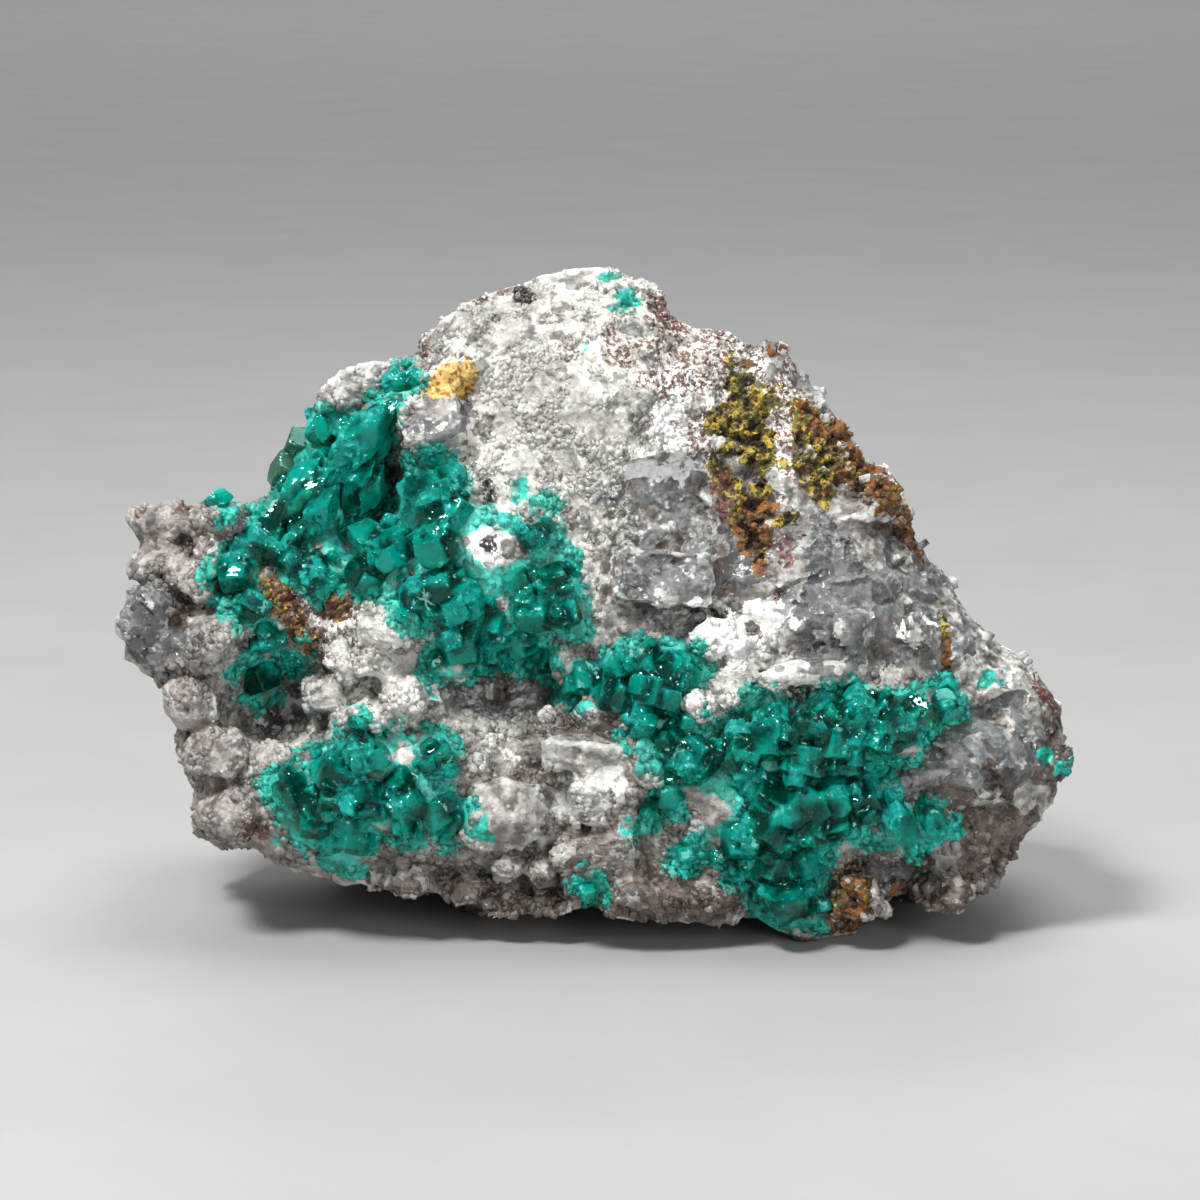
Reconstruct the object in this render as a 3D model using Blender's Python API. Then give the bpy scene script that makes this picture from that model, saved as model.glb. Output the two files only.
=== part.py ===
"""A hand-sized mineral specimen: green dioptase crystals grown on a calcite and quartz rock.

Metres, +Z up. The rock rests on four low spots at z = 0, the origin is under the middle of its
box, and the side that shows the crystals faces -Y.

Places on that side are given in the display plane, in millimetres: a is to the right of the
middle and b is up from the lowest point, as they appear to an eye EYE_DISTANCE away that looks
down on the specimen by DISPLAY_TILT. Depth is measured from the plane, away from the eye.
"""

import math
import random

import bmesh
import bpy
import numpy as np
from mathutils import Matrix, Vector, noise
from mathutils.bvhtree import BVHTree

MM = 0.001

# Driving dimensions.
DISPLAY_TILT = math.radians(10)
EYE_DISTANCE = 450 * MM
FRONT_BULGE = 7.0  # mm from the outline's plane to the front face
BACK_BULGE_LOW = 38.0  # mm from that plane to the back, at the foot of the rock
BACK_BULGE_HIGH = 15.0  # mm, at its top
UNDERSIDE_LIFT = 3.2  # mm that the underside stands clear of the floor between its feet
FOOT_REACH = 9.0  # mm across which the underside comes down to a foot
SEAT_RADIUS = 3.0  # mm, the flat that each foot stands on
CRYSTAL_GAP = 0.36  # mm between the rock and the crystals on it
ROCK_VOXEL = 0.65  # mm, grain of the solid that joins the rock's lumps
ROCK_TRIANGLES = 4000

# The middle of the specimen's box in display-plane terms, mm: it goes over the origin.
BOX_MIDDLE_A = 0.0
BOX_MIDDLE_DEPTH = 18.75

RIGHT = Vector((1, 0, 0))
UP = Vector((0, math.sin(DISPLAY_TILT), math.cos(DISPLAY_TILT)))
AWAY = Vector((0, math.cos(DISPLAY_TILT), -math.sin(DISPLAY_TILT)))
ORIGIN = Vector((-BOX_MIDDLE_A, -BOX_MIDDLE_DEPTH, 0)) * MM

# The rock's outline as the eye sees it, from the left tip round by the top.
OUTLINE = [
    (-47.5, 33.8), (-47.2, 34.9), (-46.2, 35.4), (-44.9, 35.6), (-45.0, 36.6), (-46.0, 37.4),
    (-46.2, 38.4), (-45.0, 40.0), (-44.5, 41.6), (-43.6, 42.7), (-42.0, 43.3), (-39.5, 43.5),
    (-36.0, 43.4), (-33.5, 44.0), (-31.4, 46.5), (-29.8, 50.0), (-28.6, 52.9), (-26.2, 55.0),
    (-23.5, 56.6), (-20.9, 57.7), (-18.0, 58.2), (-17.4, 60.0), (-15.8, 62.1), (-12.8, 63.8),
    (-9.8, 64.9), (-6.8, 65.8), (-3.8, 67.0), (-1.6, 67.6), (0.6, 67.3), (2.8, 66.2), (5.2, 65.4),
    (6.3, 64.0), (7.5, 61.9), (10.3, 61.3), (13.8, 60.4), (15.8, 59.1), (16.9, 59.6), (18.9, 59.7),
    (20.0, 57.8), (22.1, 55.2), (24.6, 52.0), (26.0, 49.0), (27.6, 47.0), (29.4, 45.9),
    (31.0, 43.6), (31.8, 40.6), (33.8, 37.6), (35.6, 34.6), (38.2, 31.6), (41.2, 28.6),
    (44.2, 26.2), (46.2, 23.8), (47.1, 20.6), (47.3, 17.6), (46.5, 14.2), (45.0, 11.6),
    (42.4, 9.2), (41.0, 6.4), (38.8, 4.4), (35.8, 3.4), (33.4, 3.7), (31.6, 4.6), (28.4, 4.2),
    (26.6, 2.4), (23.6, 0.4), (20.0, 0.1), (16.0, 0.5), (13.0, 1.2), (8.8, 2.1), (3.4, 2.9),
    (-2.4, 2.6), (-7.6, 2.0), (-11.6, 2.6), (-14.8, 3.8), (-19.0, 4.0), (-22.0, 4.8),
    (-26.0, 5.2), (-30.2, 6.1), (-34.4, 8.4), (-38.6, 9.4), (-40.4, 11.2), (-40.9, 15.0),
    (-41.9, 19.0), (-41.8, 21.0), (-43.0, 24.0), (-44.4, 26.2), (-46.4, 27.0), (-47.4, 29.0),
]
OUTLINE_MIDDLE = (0.3, 29.8)

# Where the underside touches the floor: a, and mm behind the outline's plane.
FEET = [(22.0, 3.5), (34.0, 18.5), (-10.0, 12.5), (-21.0, 27.0)]

# Broad forms of the display side: a, b, half width, half height, turn in degrees, and the
# height towards the eye, which is negative in a hollow.
SWELLS = {
    "upper dome": (-7.7, 50.8, 17.0, 14.0, 0, 3.0),
    "grey glassy bulge": (26.3, 33.8, 10.0, 7.0, -20, 2.4),
    "valley beside the crest": (-22.0, 43.6, 3.0, 6.5, -12, -7.0),
    "cave": (-31.4, 23.6, 5.2, 5.6, 0, -8.5),
    "hollow under the main crystals": (-8.2, 25.6, 7.0, 4.0, 0, -5.0),
    "swell under the main crystals": (-15.7, 35.8, 11.0, 8.0, 0, 3.0),
    "swell under the lower left crystals": (-22.7, 14.8, 9.0, 6.0, 0, 2.0),
    "swell under the apron": (18.3, 13.8, 11.0, 6.5, 0, 2.5),
    "swell under the shelf": (26.0, 21.4, 9.0, 4.0, 15, 2.0),
    "swell under the chain": (5.3, 22.4, 3.0, 7.0, -40, 1.8),
    "pocket under the cleaved block": (9.8, 31.8, 2.4, 1.2, 25, -3.5),
    "groove on the right shoulder": (37.8, 22.6, 5.0, 1.5, 12, -3.2),
    "smooth lump on the right": (36.3, 16.8, 9.0, 4.0, 8, 2.4),
    "scoop under the scalloped rim": (6.8, 44.6, 5.0, 3.6, 0, -2.2),
    "iron-stained band": (14.8, 48.8, 2.8, 8.0, 5, -1.4),
    "undercut of the foot": (-11.7, 5.4, 14.0, 2.4, 0, -2.4),
    "undercut beside the prisms": (29.5, 6.0, 4.0, 2.4, 10, -2.6),
    "cleft at the left tip": (-41.5, 34.8, 5.0, 1.1, 0, -2.4),
}

# Lumps of the display side: a, b, width, height, thickness, turn in degrees, how square it is
# from 0 for a cobble to 1 for a cleaved block, and how far its middle stands out, all in mm.
LUMPS = {
    "left knob": (-43.2, 41.3, 6.2, 4.6, 6.0, 10, 0, 0.4),
    "left knob's shoulder": (-38.2, 41.6, 7.2, 4.2, 6.0, 0, 0, 0.6),
    "left shell": (-44.0, 37.6, 4.6, 4.4, 5.0, 0, 0, 0.6),
    "left finger": (-40.8, 36.4, 7.2, 3.2, 4.0, -38, 0, 0.8),
    "left tip": (-44.0, 31.2, 6.6, 8.2, 7.0, 0, 0.4, 0.4),
    "lump behind the tip": (-38.8, 29.6, 7.0, 5.6, 5.0, 8, 0.4, 0.8),
    "white post": (-38.2, 38.0, 3.0, 4.4, 3.4, 0, 0, 1.0),
    "left flank upper": (-40.4, 23.8, 6.0, 5.0, 5.0, 0, 0, 0.3),
    "left flank middle": (-38.0, 18.6, 6.0, 5.0, 4.6, 0, 0, 0.4),
    "left flank lower": (-36.8, 12.4, 6.4, 5.4, 4.6, 0, 0, 0.3),
    "left flank inner": (-32.8, 18.0, 5.0, 4.0, 3.6, 0, 0, 0.6),
    "druse ball one": (-25.2, 27.8, 4.4, 3.8, 4.4, 0, 0, 1.2),
    "druse ball two": (-21.8, 27.6, 3.8, 3.8, 4.2, 0, 0, 1.2),
    "druse ball three": (-26.7, 24.6, 4.6, 3.8, 4.4, 0, 0, 0.8),
    "druse ball four": (-18.8, 24.4, 5.2, 5.0, 5.0, 0, 0.2, 1.2),
    "druse ball five": (-23.0, 22.2, 5.0, 2.8, 4.0, 0, 0, 1.0),
    "druse bank": (-21.0, 31.0, 7.0, 4.4, 4.4, 0, 0, 0.6),
    "druse bank's end": (-14.8, 27.4, 4.4, 3.0, 3.4, 0, 0, 0.6),
    "bead under the main crystals": (-3.0, 28.2, 3.8, 4.4, 3.6, 0, 0, 1.0),
    "small bead left": (-4.7, 22.2, 2.6, 2.6, 2.8, 0, 0, 0.6),
    "small bead right": (-0.7, 22.6, 3.2, 3.0, 3.0, 0, 0, 0.6),
    "slab": (-1.4, 18.9, 8.8, 3.8, 4.4, -6, 0.9, 1.6),
    "slab's round end": (5.0, 17.4, 4.0, 6.4, 4.2, 10, 0.2, 1.0),
    "snow-white block": (0.6, 14.2, 6.8, 4.8, 4.4, -4, 1.0, 1.4),
    "shouldered boulder": (-9.6, 12.6, 8.4, 7.0, 5.4, 22, 0.4, 1.4),
    "corner block": (0.4, 8.6, 8.0, 5.6, 5.0, 14, 0.9, 1.6),
    "cobble left": (-8.7, 8.0, 3.2, 3.2, 3.4, 0, 0.2, 1.4),
    "cobble right": (-5.2, 7.4, 4.2, 3.4, 3.6, -8, 0.3, 1.4),
    "foot stone one": (-19.6, 6.2, 7.0, 3.6, 4.6, -8, 0.3, 0.6),
    "foot stone two": (-13.2, 5.0, 5.4, 3.2, 4.6, 0, 0.3, 1.0),
    "foot stone three": (-9.0, 3.9, 4.4, 3.0, 4.6, 0, 0.4, 1.4),
    "foot stone four": (-4.0, 4.0, 5.0, 2.6, 4.6, 0, 0.4, 1.0),
    "rose slab": (8.0, 5.0, 14.0, 5.4, 6.4, -4, 0.8, 0.8),
    "upper left shoulder": (-24.2, 54.6, 8.4, 4.6, 5.0, 30, 0.2, 0.4),
    "stained tooth": (-14.2, 56.0, 7.0, 3.4, 4.0, 22, 0.7, 1.4),
    "rimmed block": (-16.0, 51.0, 6.0, 5.0, 4.6, 16, 0.8, 1.2),
    "cleaved block": (6.6, 36.2, 10.4, 5.4, 4.6, -3, 1.0, 1.0),
    "bank over the shelf": (22.4, 26.6, 13.0, 3.4, 4.2, 3, 0.2, 1.2),
    "white bank left": (12.2, 30.0, 6.0, 4.4, 3.8, 0, 0.2, 0.6),
    "white bank right": (14.2, 25.2, 5.0, 5.4, 3.8, 0, 0.2, 0.4),
    "pale bead": (9.8, 23.4, 3.2, 3.0, 3.0, 0, 0.3, 1.8),
    "scalloped rim": (7.6, 48.6, 10.0, 2.4, 3.0, 8, 0.3, 1.0),
    "glassy knob": (25.6, 31.0, 5.6, 5.0, 3.4, -30, 0.1, 0.6),
    "bright flake": (31.8, 30.6, 4.0, 3.2, 2.4, -15, 0.9, 1.0),
    "right heel": (34.6, 4.9, 5.4, 4.2, 6.0, 20, 0.5, 0.6),
    "limonite boss": (25.2, 4.2, 4.8, 6.4, 5.0, 8, 0.1, 1.2),
    "right edge lump": (27.4, 43.6, 4.0, 6.0, 5.0, -35, 0.2, 0.2),
    "top pip": (18.0, 58.5, 3.0, 2.0, 3.0, 0, 0.2, 0.0),
    "right edge pip": (46.6, 18.6, 2.0, 2.6, 2.4, 0, 0, 0.6),
}

# Broken lumps that cover the back and the top, where the outline hides them.
BACK_LUMPS = 46
BACK_LUMP_WIDTH = (8.0, 19.0)  # mm


def on_plane(a, b, depth=0.0):
    """The point that many millimetres right, up and away from the display plane's corner."""
    return ORIGIN + (RIGHT * a + UP * b + AWAY * depth) * MM


EYE = on_plane(0.3, 33.8, -EYE_DISTANCE / MM)


def on_sight_line(a, b, depth):
    """The point that the eye sees at (a, b), that far behind the display plane."""
    return EYE + (on_plane(a, b) - EYE) * (1 + depth * MM / EYE_DISTANCE)


def seen(point):
    """(a, b) where the eye sees a point."""
    line = point - EYE
    reach = EYE_DISTANCE / line.dot(AWAY)
    at = (EYE + line * reach - ORIGIN) / MM
    return at.dot(RIGHT), at.dot(UP)


def smooth_step(value, low, high):
    t = min(1.0, max(0.0, (value - low) / (high - low)))
    return t * t * (3 - 2 * t)


def outline_table(steps_per_side=6):
    """Angles about OUTLINE_MIDDLE and the outline's distance from it at each, in order."""
    angles, reaches = [], []
    for (a0, b0), (a1, b1) in zip(OUTLINE, OUTLINE[1:] + OUTLINE[:1]):
        for step in range(steps_per_side):
            t = step / steps_per_side
            a = a0 + (a1 - a0) * t - OUTLINE_MIDDLE[0]
            b = b0 + (b1 - b0) * t - OUTLINE_MIDDLE[1]
            angles.append(math.atan2(b, a))
            reaches.append(math.hypot(a, b))
    order = np.argsort(angles)
    return np.array(angles)[order], np.array(reaches)[order]


def new_object(name, bm, material=None):
    mesh = bpy.data.meshes.new(name)
    bm.to_mesh(mesh)
    bm.free()
    obj = bpy.data.objects.new(name, mesh)
    bpy.context.collection.objects.link(obj)
    if material:
        mesh.materials.append(material)
    return obj


def with_modifier(obj, kind, **settings):
    """Gives obj the modifier and applies it."""
    modifier = obj.modifiers.new(kind.title(), kind)
    for key, value in settings.items():
        setattr(modifier, key, value)
    graph = bpy.context.evaluated_depsgraph_get()
    made = bpy.data.meshes.new_from_object(obj.evaluated_get(graph))
    obj.modifiers.clear()
    old, obj.data = obj.data, made
    bpy.data.meshes.remove(old)
    return obj


def body_blank():
    """The rock without its lumps: a ball drawn out to the outline, with a bulge each way."""
    angles, reaches = outline_table()
    turns = np.linspace(-math.pi, math.pi, 360, endpoint=False)
    even = np.interp(turns, angles, reaches, period=2 * math.pi)
    blurred = np.mean([np.roll(even, shift) for shift in range(-12, 13)], axis=0)
    bm = bmesh.new()
    bmesh.ops.create_icosphere(bm, subdivisions=6, radius=1)
    for vert in bm.verts:
        x, y, z = vert.co
        angle = math.atan2(z, x)
        share = math.sqrt(1 - min(1.0, abs(y)))  # 0 in the middle of a face, 1 at the outline
        exact = float(np.interp(angle, angles, reaches, period=2 * math.pi))
        broad = float(np.interp(angle, turns, blurred, period=2 * math.pi))
        reach = share * (broad + (exact - broad) * smooth_step(share, 0.6, 0.98))
        a = OUTLINE_MIDDLE[0] + reach * math.cos(angle)
        b = OUTLINE_MIDDLE[1] + reach * math.sin(angle)
        if y < 0:
            depth = -FRONT_BULGE * (1 - share**4) ** 0.6
            depth += swell_depth(a, b) * smooth_step(1 - share, 0.0, 0.12)
        else:
            bulge = BACK_BULGE_LOW + (BACK_BULGE_HIGH - BACK_BULGE_LOW) * smooth_step(b, 18, 66)
            depth = bulge * (1 - share**5) ** 0.45
        vert.co = on_sight_line(a, b, depth)
    return bm


def swell_depth(a, b):
    """How far the broad forms move the display side from the eye, at (a, b)."""
    depth = 0.0
    for at_a, at_b, half_width, half_height, turn, height in SWELLS.values():
        c, s = math.cos(math.radians(turn)), math.sin(math.radians(turn))
        along = ((a - at_a) * c + (b - at_b) * s) / half_width
        across = ((b - at_b) * c - (a - at_a) * s) / half_height
        depth -= height * math.exp(-((along**2 + across**2) ** 1.5))
    return depth


def lump(width, height, thickness, squareness, seed):
    """A cobble or a cleaved block round the origin, in a mesh of its own."""
    bm = bmesh.new()
    if squareness > 0.6:
        bmesh.ops.create_cube(bm, size=1)
        bmesh.ops.bevel(
            bm, geom=bm.edges[:], offset=0.1, segments=1, profile=0.5, affect="EDGES", material=-1
        )
    else:
        bmesh.ops.create_icosphere(bm, subdivisions=2, radius=0.56)
    for vert in bm.verts:
        jitter = noise.noise_vector(vert.co * 1.7 + Vector((seed, 3.1 * seed, 0)))
        vert.co += jitter * (0.16 - 0.08 * squareness)
        vert.co.x *= width * MM
        vert.co.y *= thickness * MM
        vert.co.z *= height * MM
    return bm


def add_placed(target, piece, at, facing, turn):
    """Turns piece's -Y to facing, moves it to at, and adds it to target, which is a mesh too."""
    back = -facing.normalized()
    side = back.cross(UP).normalized()
    up = side.cross(back)
    frame = Matrix.Translation(at) @ Matrix((side, back, up)).transposed().to_4x4()
    frame = frame @ Matrix.Rotation(math.radians(-turn), 4, "Y")
    bmesh.ops.transform(piece, matrix=frame, verts=piece.verts[:])
    add_mesh(target, piece)


def add_mesh(target, piece):
    mesh = bpy.data.meshes.new("piece")
    piece.to_mesh(mesh)
    piece.free()
    target.from_mesh(mesh)
    bpy.data.meshes.remove(mesh)


def rock_with_lumps():
    """The rock's body and its lumps, still as separate shells in one mesh."""
    bm = body_blank()
    surface = BVHTree.FromBMesh(bm)
    for seed, (a, b, width, height, thickness, turn, square, out) in enumerate(LUMPS.values()):
        hit, normal, _, _ = surface.ray_cast(EYE, (on_plane(a, b) - EYE).normalized())
        if hit is None:
            hit, normal = on_plane(a, b), -AWAY
        facing = (normal - AWAY * 1.2).normalized()
        piece = lump(width, height, thickness, square, seed)
        add_placed(bm, piece, hit + facing * out * MM * 0.5, facing, turn)
    chance = random.Random(11)
    middle = on_plane(0, 32, 12)
    for seed in range(BACK_LUMPS):
        turn_round = math.radians(chance.uniform(-75, 75))
        rise = chance.uniform(-0.35, 0.95)
        outwards = Vector((math.sin(turn_round), math.cos(turn_round), rise)).normalized()
        hit, normal, _, _ = surface.ray_cast(middle + outwards * 0.2, -outwards)
        width = chance.uniform(*BACK_LUMP_WIDTH)
        shape = (width, width * chance.uniform(0.5, 0.9), width * chance.uniform(0.4, 0.6))
        a, b = seen(hit)
        if not within_outline(a, b, width * 0.55) or hit.z < 0.012:
            continue
        piece = lump(*shape, chance.choice((0.2, 0.9)), 60 + seed)
        add_placed(bm, piece, hit - normal * width * 0.08 * MM, normal, chance.uniform(0, 180))
    return bm


def within_outline(a, b, margin):
    """True if (a, b) lies inside the outline by at least margin."""
    angles, reaches = outline_table(1)
    da, db = a - OUTLINE_MIDDLE[0], b - OUTLINE_MIDDLE[1]
    reach = float(np.interp(math.atan2(db, da), angles, reaches, period=2 * math.pi))
    return math.hypot(da, db) < reach - margin


def broken_facets(point, cell, hollow):
    """How far a broken surface stands out at a point, in cells as wide as cell mm.

    Each cell is a tilted flat that is hollow in its middle, as a chip leaves it, or that bulges
    if hollow is negative. Where two meet there is an edge, or a groove between two bulges.
    """
    sign = 1 if hollow > 0 else -1
    heights = []
    for seed in noise.voronoi(point / (cell * MM))[1]:
        lean = noise.cell_vector(seed * 1.0) * 2 - Vector((1, 1, 1))
        off = point / (cell * MM) - seed
        heights.append(sign * (off.dot(lean) * 0.3 + lean.x * 0.12) + off.length_squared * 0.55)
    return sign * (min(heights) - 0.12) * abs(hollow) * cell * MM


def under_crystals(vert):
    """1 where crystals cover the rock, which is smooth there, and 0 well away from them."""
    if vert.normal.dot(AWAY) > 0.2:
        return 0.0
    a, b = seen(vert.co)
    beyond = min(
        math.hypot(a - at_a, b - at_b) - radius
        for crystals in CLUSTERS.values()
        for at_a, at_b, radius, *_ in crystals
    )
    return 1 - smooth_step(beyond, -0.4, 1.2)


def rock_solid(material):
    """One closed rock: its lumps joined, its surface broken into flats, its feet cut level."""
    rock = new_object("matrix_rock", rock_with_lumps(), material)
    with_modifier(rock, "REMESH", mode="VOXEL", voxel_size=ROCK_VOXEL * MM)
    bm = bmesh.new()
    bm.from_mesh(rock.data)
    bm.normal_update()
    moves = []
    for vert in bm.verts:
        spot = vert.co - ORIGIN
        facets = broken_facets(spot, 11.0, 0.5) + broken_facets(spot, 5.0, 0.4)
        if vert.normal.dot(AWAY) < 0:
            facets = broken_facets(spot, 6.0, 0.4) + broken_facets(spot, 2.8, 0.35)
        moves.append(vert.normal * facets * (1 - under_crystals(vert)))
    for vert, move in zip(bm.verts, moves):
        vert.co += move
        lift_over_floor(vert)
    bmesh.ops.smooth_vert(
        bm, verts=bm.verts, factor=0.4, use_axis_x=True, use_axis_y=True, use_axis_z=True
    )
    bm.to_mesh(rock.data)
    bm.free()
    faces = sum(len(face.vertices) - 2 for face in rock.data.polygons)
    with_modifier(rock, "DECIMATE", ratio=ROCK_TRIANGLES / faces, use_collapse_triangulate=True)
    cut_level(rock)
    return rock


def lift_over_floor(vert):
    """Keeps the underside clear of the floor, and draws it down round each foot to just below it."""
    height = vert.co.z / MM
    spot = Vector((vert.co.x, vert.co.y, 0)) - ORIGIN
    hollow = UNDERSIDE_LIFT * (1 + 0.5 * noise.noise(spot / (12 * MM)))
    hollow += 2.2 * broken_facets(spot, 8.0, 0.5) / MM
    clear = hollow = max(1.0, hollow)
    drawn = height
    for a, depth in FEET:
        foot = on_plane(a, 0, depth)
        away = math.hypot(vert.co.x - foot.x, vert.co.y - foot.y) / MM
        share = 1 - smooth_step(away, SEAT_RADIUS * 0.7, FOOT_REACH)
        clear = min(clear, hollow * (1 - share) - 0.6 * share)
        if height < 7:
            drawn = min(drawn, height + (-0.6 - height) * share)
    vert.co.z = max(drawn, clear) * MM


def cut_level(obj):
    """Cuts obj off at the floor, so that each foot is flat."""
    bm = bmesh.new()
    bm.from_mesh(obj.data)
    cut = bmesh.ops.bisect_plane(
        bm,
        geom=bm.verts[:] + bm.edges[:] + bm.faces[:],
        plane_co=(0, 0, 0),
        plane_no=(0, 0, -1),
        clear_outer=True,
    )
    edges = [item for item in cut["geom_cut"] if isinstance(item, bmesh.types.BMEdge)]
    bmesh.ops.holes_fill(bm, edges=edges, sides=0)
    bmesh.ops.triangulate(bm, faces=bm.faces[:])
    bm.to_mesh(obj.data)
    bm.free()


# Each crystal mass: its crystals as (a, b, radius) in mm, and then, where it is known, the length,
# the degrees from the right that the tip points and the degrees it leans towards the eye. A small
# crystal is grown between each crystal and the next.
CLUSTERS = {
    "dioptase_smoky": [(-31.6, 48.2, 2.0, 5.0, 110, 10), (-30.6, 50.6, 1.6, 4.4, 110, 10)],
    "dioptase_upper_left": [
        (-19.4, 55.8, 1.6, 4.6, 75, 30), (-20.8, 53.0, 1.7, 4.8, 60, 40),
        (-22.4, 50.2, 1.9, 5.2, 50, 35), (-24.2, 47.4, 1.8, 5.2, 60, 30),
        (-26.2, 44.6, 2.1, 5.4, 50, 40), (-28.6, 41.6, 2.1, 5.2, 40, 40),
        (-24.8, 51.4, 1.8, 4.6, 110, 30), (-27.4, 51.6, 1.9, 4.6, 100, 20),
        (-27.2, 48.2, 2.2, 4.6, 120, 35), (-29.6, 45.6, 2.1, 4.4, 120, 40),
        (-31.6, 42.8, 1.9, 4.6, 150, 35), (-32.8, 40.8, 1.5, 4.0, 200, 30),
        (-23.4, 44.4, 1.7, 4.6, 80, 45), (-25.0, 42.2, 1.4, 4.4, 300, 40),
        (-36.6, 36.4, 2.6, 5.4, 200, 40), (-33.2, 37.6, 2.7, 5.6, 110, 60),
        (-30.0, 38.4, 1.9, 4.6, 70, 50), (-27.4, 36.6, 2.3, 5.0, 60, 55),
        (-25.2, 39.8, 2.2, 7.0, 148, 30), (-22.0, 36.8, 2.6, 5.6, 90, 70),
        (-19.4, 39.6, 2.7, 5.4, 110, 60), (-17.6, 43.0, 2.4, 5.2, 120, 50),
        (-16.2, 45.8, 2.6, 5.4, 90, 40), (-13.6, 43.2, 2.1, 4.8, 40, 50),
        (-15.2, 39.4, 2.5, 5.4, 60, 65), (-11.6, 39.8, 1.9, 4.6, 30, 55),
        (-15.4, 35.6, 2.9, 5.8, 80, 70), (-18.2, 33.2, 2.4, 5.0, 240, 50),
        (-11.2, 35.6, 2.7, 5.4, 60, 65), (-7.8, 36.2, 1.9, 4.6, 50, 55),
        (-6.6, 32.8, 2.7, 5.6, 330, 60), (-3.8, 36.2, 2.3, 5.0, 30, 50),
        (-2.6, 32.2, 1.9, 4.4, 330, 45), (-12.0, 31.2, 3.0, 6.0, 280, 55),
        (-14.4, 27.8, 2.6, 5.0, 250, 40), (-10.4, 28.4, 1.7, 4.4, 290, 45),
        (-7.6, 29.2, 2.4, 5.2, 300, 50), (-34.8, 33.0, 1.9, 4.6, 200, 50),
        (-32.0, 30.4, 1.7, 4.4, 230, 45), (-30.4, 27.8, 1.4, 4.0, 250, 45),
        (-8.6, 40.0, 1.4, 4.0, 20, 50), (-5.6, 40.6, 1.4, 3.6, 40, 50),
        (-5.2, 27.8, 1.4, 3.6, 260, 50),
    ],
    "dioptase_cave": [(-33.8, 25.8, 2.3, 5.4, 290, 45)],
    "dioptase_rim": [(-37.0, 43.6, 1.3, 4.6, 10, 10)],
    "dioptase_lower_left": [
        (-30.6, 15.4, 2.3, 5.6, 110, 45), (-28.8, 11.6, 2.5, 5.2, 220, 50),
        (-26.2, 17.0, 2.6, 5.4, 110, 60), (-25.0, 10.0, 2.8, 5.6, 270, 50),
        (-22.4, 13.2, 2.7, 5.4, 300, 60), (-23.8, 20.2, 1.7, 4.8, 90, 40),
        (-20.2, 18.2, 2.3, 5.0, 80, 50), (-16.4, 18.4, 2.3, 4.8, 50, 50),
        (-18.8, 14.4, 2.5, 5.0, 20, 65), (-15.2, 12.2, 2.3, 4.8, 330, 50),
        (-19.2, 10.8, 1.5, 4.0, 270, 45), (-27.0, 14.0, 1.8, 4.4, 160, 60),
    ],
    "dioptase_lower_right": [
        (-1.2, 25.4, 2.5, 5.0, 230, 55), (1.8, 27.2, 1.6, 4.0, 140, 50),
        (2.6, 24.8, 2.4, 4.6, 90, 70), (5.2, 27.2, 2.4, 4.8, 110, 60),
        (8.4, 26.8, 2.5, 5.0, 60, 55), (6.0, 23.8, 2.5, 4.8, 250, 60),
        (4.4, 20.8, 1.8, 4.4, 200, 60), (7.8, 20.8, 2.5, 4.8, 60, 65),
        (10.6, 18.6, 2.4, 4.8, 30, 60), (7.0, 17.4, 1.9, 4.4, 200, 55),
        (9.4, 15.6, 2.3, 4.6, 200, 60), (6.6, 13.6, 1.8, 4.2, 240, 50),
        (16.6, 22.0, 2.4, 4.8, 110, 45), (14.0, 18.4, 2.7, 5.4, 170, 60),
        (17.6, 18.8, 2.4, 5.2, 300, 60), (20.6, 17.6, 2.4, 5.2, 260, 60),
        (20.4, 21.2, 1.9, 4.8, 120, 55), (23.2, 22.2, 2.4, 5.2, 90, 60),
        (24.0, 18.6, 2.5, 5.2, 270, 60), (26.6, 23.0, 2.3, 5.2, 80, 55),
        (27.4, 19.6, 2.4, 5.0, 280, 55), (29.8, 22.4, 2.5, 5.2, 70, 50),
        (30.4, 19.6, 1.8, 4.6, 300, 50), (32.6, 23.2, 2.2, 5.0, 40, 45),
        (34.8, 23.8, 1.7, 4.2, 20, 35), (12.4, 13.6, 2.5, 4.8, 200, 55),
        (13.2, 10.0, 2.5, 4.8, 230, 50), (16.4, 14.2, 2.4, 5.2, 150, 65),
        (17.0, 10.6, 2.9, 5.6, 250, 65), (20.2, 14.0, 2.5, 5.2, 80, 60),
        (21.0, 10.2, 2.5, 5.2, 280, 60), (24.0, 14.6, 2.6, 5.4, 70, 60),
        (24.6, 11.2, 2.4, 5.2, 320, 55), (27.2, 14.2, 2.3, 5.0, 40, 50),
        (27.4, 11.0, 1.7, 4.6, 320, 50), (17.4, 6.8, 2.2, 4.8, 250, 50),
        (21.0, 6.8, 2.3, 5.0, 290, 50), (18.2, 2.8, 3.0, 7.6, 264, 12),
        (21.4, 2.8, 2.2, 5.8, 285, 20), (13.8, 7.0, 1.5, 4.0, 230, 50),
        (30.4, 10.8, 2.2, 9.0, 292, 22), (32.8, 12.6, 1.9, 7.4, 290, 30),
        (34.0, 9.4, 1.7, 4.6, 300, 50),
    ],
    "dioptase_bead_low": [(8.6, 8.2, 1.2, 3.2, 240, 45)],
    "dioptase_chip_low": [(-0.5, 4.9, 1.2, 3.2, 10, 40)],
    "dioptase_edge": [(47.1, 16.8, 1.0, 2.6, 350, 15)],
    "dioptase_summit": [(2.4, 63.8, 1.1, 2.8, 60, 50)],
}
CRYSTAL_STAND = 1.5  # mm that the middle of a crystal stands clear of the rock
RHOMB_SLOPE = math.radians(44)  # of the three faces that end a crystal, from its base


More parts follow.
